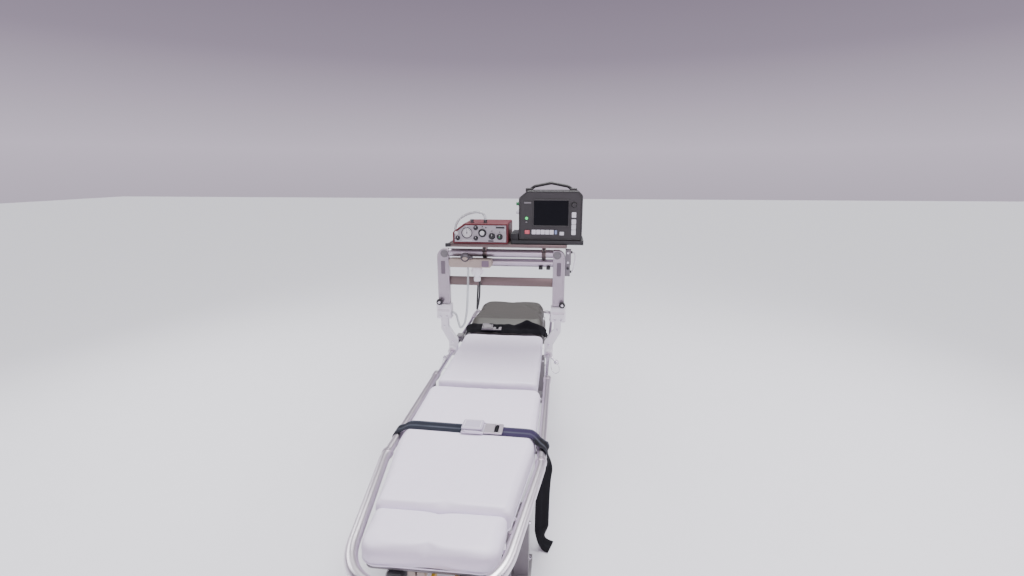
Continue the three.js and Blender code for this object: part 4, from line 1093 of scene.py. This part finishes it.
def knobOn(x, z, radius, front, out):
    return lathe("knob", [(0, 0), (radius + 1.5, 0), (radius + 1.5, 1.2), (radius, 2.4), (radius * 0.9, out - 1.2),
                          (radius * 0.8, out), (0, out)], (x, front, z), (0, -1, 0), 64,
                 lambda angle: 0.03 * np.sin(10 * angle))


# Nine vents in a row on a device's back; row holds the first x, step, width, low, high and corner
def ventRow(row, back, out, edge):
    x, step, wide, low, high, corner = row
    return [upright("vent", rect(x + step * k, x + wide + step * k, low, high, corner), back, back + out, edge)
            for k in range(9)]


def makeVentilatorCase(look):
    shape = look["shape"]
    case = upright("case", shape, look["front"], look["back"], 3.0)
    rim = ringPlate("rim", shape, 7.0, -1236.0, -1226.5, 1.5, standing)
    grooves = [ringPlate("groove", shape, 3.0, -y - 3.0, -y + 3.0, 1.2, standing) for y in look["grooves"]]
    movedOut = [pointsOf(groove) for groove in grooves]
    for groove, points in zip(grooves, movedOut):
        middle = np.array(look["middle"])
        movePoints(groove, (points - middle) * (1.006, 1.0, 1.012) + middle)
    built("ventilator_body", [case, rim, *grooves], "bridge", "red_plastic", ["ventilator_case"])
    back = look["back"] - 1.0
    vents = ventRow(look["vents"], back, 2.2, 0.6)
    vents += [rod("inlet", (x, back, z), (x, back + long, z), radius) for x, z, long, radius in look["inlets"]]
    built("ventilator_back", vents, "bridge", "black_plastic")
    nozzles = [lathe("nozzle", [(0, -1), (10, -1), (10, 2), (7, 3), (7, 9), (8, 10), (8, 14), (5, 15), (0, 15)],
                     (x, y, 929), (0, 0, 1)) for x, y in ((-122.0, 1262.0), (-62.0, 1258.0))]
    built("ventilator_nozzles", nozzles, "bridge", "chrome", look="darkMetal")
    arc = tube("breathing_hose", look["hose"], 5.5, 90, 20)
    finishPiece(arc, "bridge", "clear_hose", crisp=False)


def makeVentilatorFace(look):
    front = look["panelFront"]
    panel = upright("ventilator_face", look["face"], front, 1231.7, 0.6)
    finishPiece(panel, "bridge", "panel_grey", ["ventilator_panel"])
    x, z, r = look["gauge"]
    bezel = lathe("bezel", [(r - 4, 0.0), (r, 0.0), (r, 3.6), (r - 1.4, 5.0), (r - 2.6, 4.4), (r - 4, 1.0),
                            (r - 4, 0.0)], (x, front, z), (0, -1, 0), 64)
    needle = upright("needle", [(x - 1.2, z - 5, 0), (x + 1.2, z - 5, 0), (x + 0.5, z + 15, 0),
                                (x - 0.5, z + 15, 0)], front - 2.6, front - 1.8, 0.15)
    hub = rod("hub", (x, front, z), (x, front - 3.2, z), 2.6)
    turns = np.radians(np.arange(-130, 131, 26))
    ticks = [rod("tick", (x + 15 * np.sin(turn), front - 1.5, z + 15 * np.cos(turn)),
                 (x + 18.5 * np.sin(turn), front - 1.5, z + 18.5 * np.cos(turn)), 0.5, 0.1, 8) for turn in turns]
    built("gauge_marks", [bezel, needle, hub, *ticks], "bridge", "black_plastic", look="darkMetal")
    dial = rod("gauge_dial", (x, front + 0.5, z), (x, front - 1.3, z), r - 3.5, 0.3, 48)
    finishPiece(dial, "bridge", "panel_grey", look="dial")
    x, z, r = look["ring"]
    whites = [lathe("small", [(0, 0), (r, 0), (r, 2.4), (r - 1.4, 3.4), (r - 3, 2.2), (0, 2.2)], (x, front, z),
                    (0, -1, 0))]
    x, z, r = look["selector"]
    whites.append(lathe("cap", [(0, 9.5), (r - 8, 9.3), (r - 7, 8.0), (r - 7, 4), (0, 4)], (x, front, z),
                        (0, -1, 0)))
    x0, x1, z0, z1 = look["palePlate"]
    whites.append(upright("strip", rect(x0, x1, z0, z1, 1), front - 0.7, front + 0.3, 0.3))
    built("ventilator_white_caps", whites, "bridge", "panel_grey", look="dial")
    blacks = [lathe("selector", [(0, 3), (r - 7, 3), (r - 6, 7.0), (r - 2, 7.0), (r, 5.0), (r + 0.6, 1.5),
                                 (r + 1.6, 0), (0, 0)], (x, front, z), (0, -1, 0), 64)]
    blacks += [knobOn(x, z, r, front, 11.0 if r > 10 else 8.0) for x, z, r in look["knobs"]]
    blacks += [rod("lamp", (x, front, z), (x, front - 1.6, z), r, 0.5, 20) for x, z, r in look["lamps"]]
    blacks += [upright("strip", rect(x0, x1, z0, z1, 1), front - 0.7, front + 0.3, 0.3)
               for x0, x1, z0, z1 in look["darkPlates"]]
    built("ventilator_knobs", blacks, "bridge", "black_plastic")
    marks = [upright("mark", rect(x - 0.9, x + 0.9, z + r * 0.15, z + r * 0.75, 0.4),
                     front - (11.6 if r > 10 else 8.6), front - 6, 0.2) for x, z, r in look["knobs"]]
    built("ventilator_knob_marks", marks, "bridge", "panel_grey", look="dial")
    x, z, _ = look["knobs"][-1]
    spot = rod("ventilator_lamp", (x, front - 10.6, z), (x, front - 12.2, z), 3.4, 0.6, 24)
    finishPiece(spot, "bridge", "black_plastic", look="greenPlastic")
    bolts("ventilator_screws", "bridge", [((x, front, z), (0, -1, 0), 2.0) for x, z in look["screws"]])


makeVentilatorCase(ventilator)
makeVentilatorFace(ventilator)
print("ventilator made")

# Monitor: case with an arched handle, bezel, glass, keys, connectors, back with vents
monitor = dict(
    shape=[(86, 858.3, 9), (358, 858.3, 9), (358, 1050, 12), (338, 1068, 12), (122, 1068, 12), (86, 1038, 12)],
    top=1068.0, front=1246.0, back=1400.0, face=1241.7, screen=(152.0, 297.0, 923.0, 1026.0),
    handle=[(118, -6), (150, 17), (222, 31), (294, 17), (326, -6)], handleY=1322, lugs=(126.0, 318.0),
    plugs=[("greenPlastic", 1268, 1012), ("whiteKey", 1266, 976)], vents=(150, 18, 10, 900, 950, 5),
    door=(130, 310, 968, 1040), sockets=(130.0, 330.0), socketZ=880, lamp=(120, 952), knob=(322, 1010, 11),
    keys=[  # finish, left, right, low, high, across, down
        ("pinkKey", 112, 134, 884, 902, 1, 1), ("whiteKey", 142, 238, 883, 904, 5, 1),
        ("blueKey", 241, 252, 884, 903, 1, 1), ("whiteKey", 262, 282, 880, 896, 1, 1),
        ("whiteKey", 312, 332, 956, 980, 1, 1), ("whiteKey", 312, 332, 882, 950, 1, 3),
        ("greyKey", 108, 140, 1014, 1022, 1, 1), ("greyKey", 114, 124, 932, 939, 1, 1)])


def makeMonitorCase(look):
    shape, top = look["shape"], look["top"]
    shell = upright("shell", shape, look["front"] + 4, look["back"], 6.0)
    bezel = upright("bezel", shape, look["front"] - 0.3, look["front"] + 16, 3.0)
    bump = ringPlate("bumper", shape, 7.0, -look["front"] - 8, -look["front"] + 3, 2.0, standing)
    y = look["handleY"]
    grip = bentPath([(x, y, top + up) for x, up in look["handle"]], 26, 12)
    angle = np.linspace(0, 2 * np.pi, 28, endpoint=False)
    section = np.stack([15.0 * np.sign(np.cos(angle)) * np.abs(np.cos(angle)) ** 0.6,
                        6.5 * np.sign(np.sin(angle)) * np.abs(np.sin(angle)) ** 0.7], -1)
    handle = sweep("handle", evenly(grip, 90), section, (0.0, 1.0, 0.0))
    lugs = [upright("lug", rect(x - 16, x + 16, top - 8, top + 9, 4), y - 18, y + 18, 3.0) for x in look["lugs"]]
    built("monitor_body", [shell, bezel, bump, handle, *lugs], "bridge", "charcoal", ["monitor_case"])
    for finish, y, z in look["plugs"]:
        parts = [rod("plug", (89, y, z), (73, y, z), 7.0, 1.5, 28),
                 rod("collar", (89, y, z), (83, y, z), 9.5, 1.0, 28)]
        built("monitor_plug_" + finish, parts, "bridge", "panel_grey", look=finish)
    back, z = look["back"] - 1.0, look["socketZ"]
    backs = ventRow(look["vents"], back, 2.4, 0.8)
    backs.append(upright("door", rect(*look["door"], 8), back, back + 4.0, 1.6))
    backs += [rod("socket", (x, back, z), (x, back + 13.0, z), 9.0, 1.5) for x in look["sockets"]]
    built("monitor_back", backs, "bridge", "black_plastic")


def makeMonitorFace(look):
    a, b, c, d = look["screen"]
    face = look["face"]
    edge = ringPlate("monitor_screen_edge", rect(a - 7, b + 7, c - 7, d + 7, 7), 6.0, -face - 3.5, -face + 1.5,
                     1.2, standing)
    finishPiece(edge, "bridge", "charcoal")
    pane = upright("monitor_screen_glass", rect(a - 2, b + 2, c - 2, d + 2, 3), face - 0.2, face + 3.5, 0.4)
    finishPiece(pane, "bridge", "black_plastic", ["monitor_screen"], "screenGlass")
    keys = {}
    for finish, x0, x1, z0, z1, across, down in look["keys"]:
        wide, tall = (x1 - x0) / across, (z1 - z0) / down
        keys.setdefault(finish, []).extend(
            upright("key", rect(x0 + wide * k + 0.8, x0 + wide * (k + 1) - 0.8, z0 + tall * m + 0.8,
                                z0 + tall * (m + 1) - 0.8, 2.5), face - 2.0, look["front"] + 1, 1.0)
            for k in range(across) for m in range(down))
    for finish, parts in keys.items():
        node = ["monitor_keys"] if finish == "whiteKey" else []
        built("monitor_" + finish, parts, "bridge", "panel_grey", node, finish)
    x, z = look["lamp"]
    light = rod("monitor_lamp", (x, look["front"] + 1, z), (x, face - 1.5, z), 6.0, 1.2, 24)
    finishPiece(light, "bridge", "panel_grey", look="greenLamp")
    built("monitor_knob", [knobOn(*look["knob"], look["front"], 9.0)], "bridge", "charcoal")


makeMonitorCase(monitor)
makeMonitorFace(monitor)
print("monitor made")

# Below the tray: the oxygen outlet with its hose, the drain hose and the gauge ring on the block
oxygenSet = dict(
    outlet=(-101.0, 1252.0), low=734.0, ring=(-148.0, 1226.0, 781.0), panel=(-76, -44, 738, 766),
    valve=[(0, 0), (17, 0), (20, -3), (22, -8), (22, -30), (20, -34), (14, -38), (12, -46), (15, -50), (15, -64),
           (12, -66), (0, -66)],
    wing=[(-7, -30, 3), (7, -30, 3), (9, -14, 4), (-9, -14, 4)], wingOut=20,
    hose=[(-142, 1250, 700), (-146, 1248, 600), (-152, 1246, 520), (-166, 1248, 462), (-184, 1254, 446),
          (-196, 1264, 470), (-206, 1274, 498), (-218, 1280, 508), (-229.4, 1280, 508.5)],
    drain=[(-92, 1258, 670), (-92, 1262, 640), (-96, 1270, 590), (-104, 1282, 548), (-112, 1296, 524),
           (-112, 1304, 560), (-108, 1302, 620), (-106, 1300, 660)],
    ringForm=[(13, 0), (20, 0), (21, 2), (21, 10), (19, 13), (14, 13), (13, 11), (13, 0)],
    glass=[(0, 8), (9, 7.6), (13, 6.4), (13, 2), (0, 2)])


def makeOxygen(look):
    (x, y), low = look["outlet"], look["low"]
    valve = [lathe("valve", look["valve"], (x, y, low), (0, 0, 1), 64, lambda angle: 0.02 * np.sin(16 * angle))]
    for shift in (-look["wingOut"], look["wingOut"]):
        wing = [(x + shift + across, low + up, bend) for across, up, bend in look["wing"]]
        valve.append(upright("wing", wing, y - 4, y + 4, 1.5))
    built("oxygen_valve", valve, "bridge", "white_paint", ["oxygen_outlet"])
    line = [(-142, 1250, low - 0.3), *look["hose"]]
    finishPiece(tube("oxygen_hose_line", line, 5.0, 120, 20), "bridge", "clear_hose", ["oxygen_hose"], crisp=False)
    finishPiece(tube("drain_hose", look["drain"], 4.0, 100, 18), "bridge", "black_plastic", crisp=False)
    x, y, z = look["ring"]
    ring = lathe("ring", look["ringForm"], (x, y, z), (0, -1, 0), 56)
    lugs = [upright("lug", rect(x + 14, x + 34, z - 6, z + 6, 3), y - 10, y, 1.2),
            rod("screw", (x + 28, y - 13, z), (x + 28, y, z), 4.0)]
    built("gauge_clamp", [ring, *lugs], "bridge", "black_plastic", look="darkMetal")
    finishPiece(lathe("gauge_glass", look["glass"], (x, y, z), (0, -1, 0)), "bridge", "cream", look="greyKey")
    tint = upright("oxygen_panel", rect(*look["panel"], 5), 1223.4, 1227.0, 1.2)
    finishPiece(tint, "bridge", "cream", look="plumPlastic")


makeOxygen(oxygenSet)

# Clips and feet under the tray, then the lead and the fastenings of the bracket at the right post
traySet = dict(
    clips=(-70.0, 195.0), feet=(182.0, 216.0), cover=(-236, -212, 826, 842), bracket=290.3,
    lead=[(25.3, 1290, 800), (31, 1290, 800), (40, 1288, 794), (44, 1286, 778), (41, 1286, 748), (36, 1287, 722),
          (29, 1290, 712), (22.3, 1290, 712)],
    ends=[((25.3, 1290, 800), (31, 1290, 800), 6.0, 1.2, 24), ((22.3, 1290, 712), (28, 1290, 712), 6.0, 1.2, 24),
          ((12, 1280.8, 728), (12, 1276, 728), 6.0, 1.0, 6), ((10, 1309, 712), (10, 1322, 712), 8.0, 2.0, 24)],
    bracketBolts=(12, 1280.8, (755.0, 798.0)))


def makeTrayFittings(look):
    clips = []
    for x in look["clips"]:
        clips.append(ringPlate("clip", rect(x - 4, x + 4, 764, 824, 3), 2.4, -1273.0, -1268.0, 0.6, standing))
        clips.append(rod("clipScrew", (x, 1262, 812), (x, 1274, 812), 5.0))
    clips += [upright("clipFoot", rect(x - 9, x + 9, 722, 736, 3), 1268, 1292, 2.0) for x in look["feet"]]
    clips.append(upright("cover", rect(*look["cover"], 3), 1221.0, 1229.0, 1.5))
    built("tray_clips", clips, "bridge", "black_plastic")
    near = look["bracket"]
    lead = [(near + x, y, z) for x, y, z in look["lead"]]
    finishPiece(tube("sensor_lead_cord", lead, 3.4, 90, 18), "bridge", "white_paint", ["sensor_lead"], crisp=False)
    ends = [rod("end", (near + begin[0], *begin[1:]), (near + stop[0], *stop[1:]), *form)
            for begin, stop, *form in look["ends"]]
    built("side_bracket_ends", ends, "bridge", "black_plastic")
    x, y, heights = look["bracketBolts"]
    bolts("side_bracket_bolts", "bridge", [((near + x, y, z), (0, -1, 0), 3.4) for z in heights])


makeTrayFittings(traySet)
print("fittings under the tray made")

# Base: end caps, bolts on stands and floor fittings, hinge pins' heads
baseSet = dict(stands=(330.0, 1480.0), legX=180.0, railX=150.0, railEnds=(150.0, 1660.0),
               runnerBolts=(300.0, 480.0, 700.0, 1100.0, 1400.0),
               beamBolts=[(205.0, (560.0, 920.0)), (170.0, (240.0, 1600.0))], hingeBolt=(241.0, 1440.0, 330.0))


def makeBaseDetails(look):
    spots = []
    caps = []
    for _, side in sides:
        for y in look["stands"]:
            for shift in (-44.0, 44.0):
                spots += [((side * look["legX"] + turn * 18, y + shift, 22.0), (0, 0, 1), 5.0) for turn in (-1, 1)]
            spots += [((side * (look["legX"] + 21), y, z), (side, 0, 0), 4.5) for z in (60.0, 180.0)]
            spots += [((side * look["legX"] + shift, y - 23, 213), (0, -1, 0), 4.0) for shift in (-12.0, 12.0)]
        for y, way in zip(look["railEnds"], (-1.0, 1.0)):
            caps.append(upright("cap", rect(side * look["railX"] - 18, side * look["railX"] + 18, 230.3, 256.3, 4),
                                min(y, y + way * 5), max(y, y + way * 5), 1.6))
    bolts("base_bolts", "base", spots)
    built("base_rail_caps", caps, "base", "black_plastic")
    spots = [((side * look["railX"], y, 264.7), (0, 0, 1), 3.8) for _, side in sides for y in look["runnerBolts"]]
    spots += [((side * x, y - 20.0, 280.0), (0, -1, 0), 4.0) for x, places in look["beamBolts"]
              for _, side in sides for y in places]
    x, y, z = look["hingeBolt"]
    spots += [((side * x, y, z), (side, 0, 0), 5.5) for _, side in sides]
    bolts("litter_bolts", "litter", spots)


makeBaseDetails(baseSet)
print("base details made")

# What stays of the CAD nodes: edges broken by a small bevel
edges = dict(default=0.8, base_stand_foot=2.5, base_stand_head=2.5, bridge_arm_left=2.2, bridge_arm_right=2.2,
             monitor_dock=1.6, side_bracket=1.2, oxygen_block=1.0)


def dressNodes(look):
    slots = {row["node"]: row["material_slot"] for row in frame["record"]["subparts"]}
    for name, node in frame["nodes"].items():
        if name in dressed:
            continue
        node.data.materials.clear()
        node.data.materials.append(finishes[slots[name]].material)
        node.modifiers.new("oneSkin", "WELD").merge_threshold = 1e-5
        bevel = node.modifiers.new("brokenEdges", "BEVEL")
        bevel.width = look.get(name, look["default"]) * 0.001
        bevel.segments = 2
        bevel.limit_method = "ANGLE"
        bevel.angle_limit = np.radians(32)
        bevel.harden_normals = True
        node.data.polygons.foreach_set("use_smooth", np.ones(len(node.data.polygons), bool))


dressNodes(edges)
print("remaining nodes dressed")
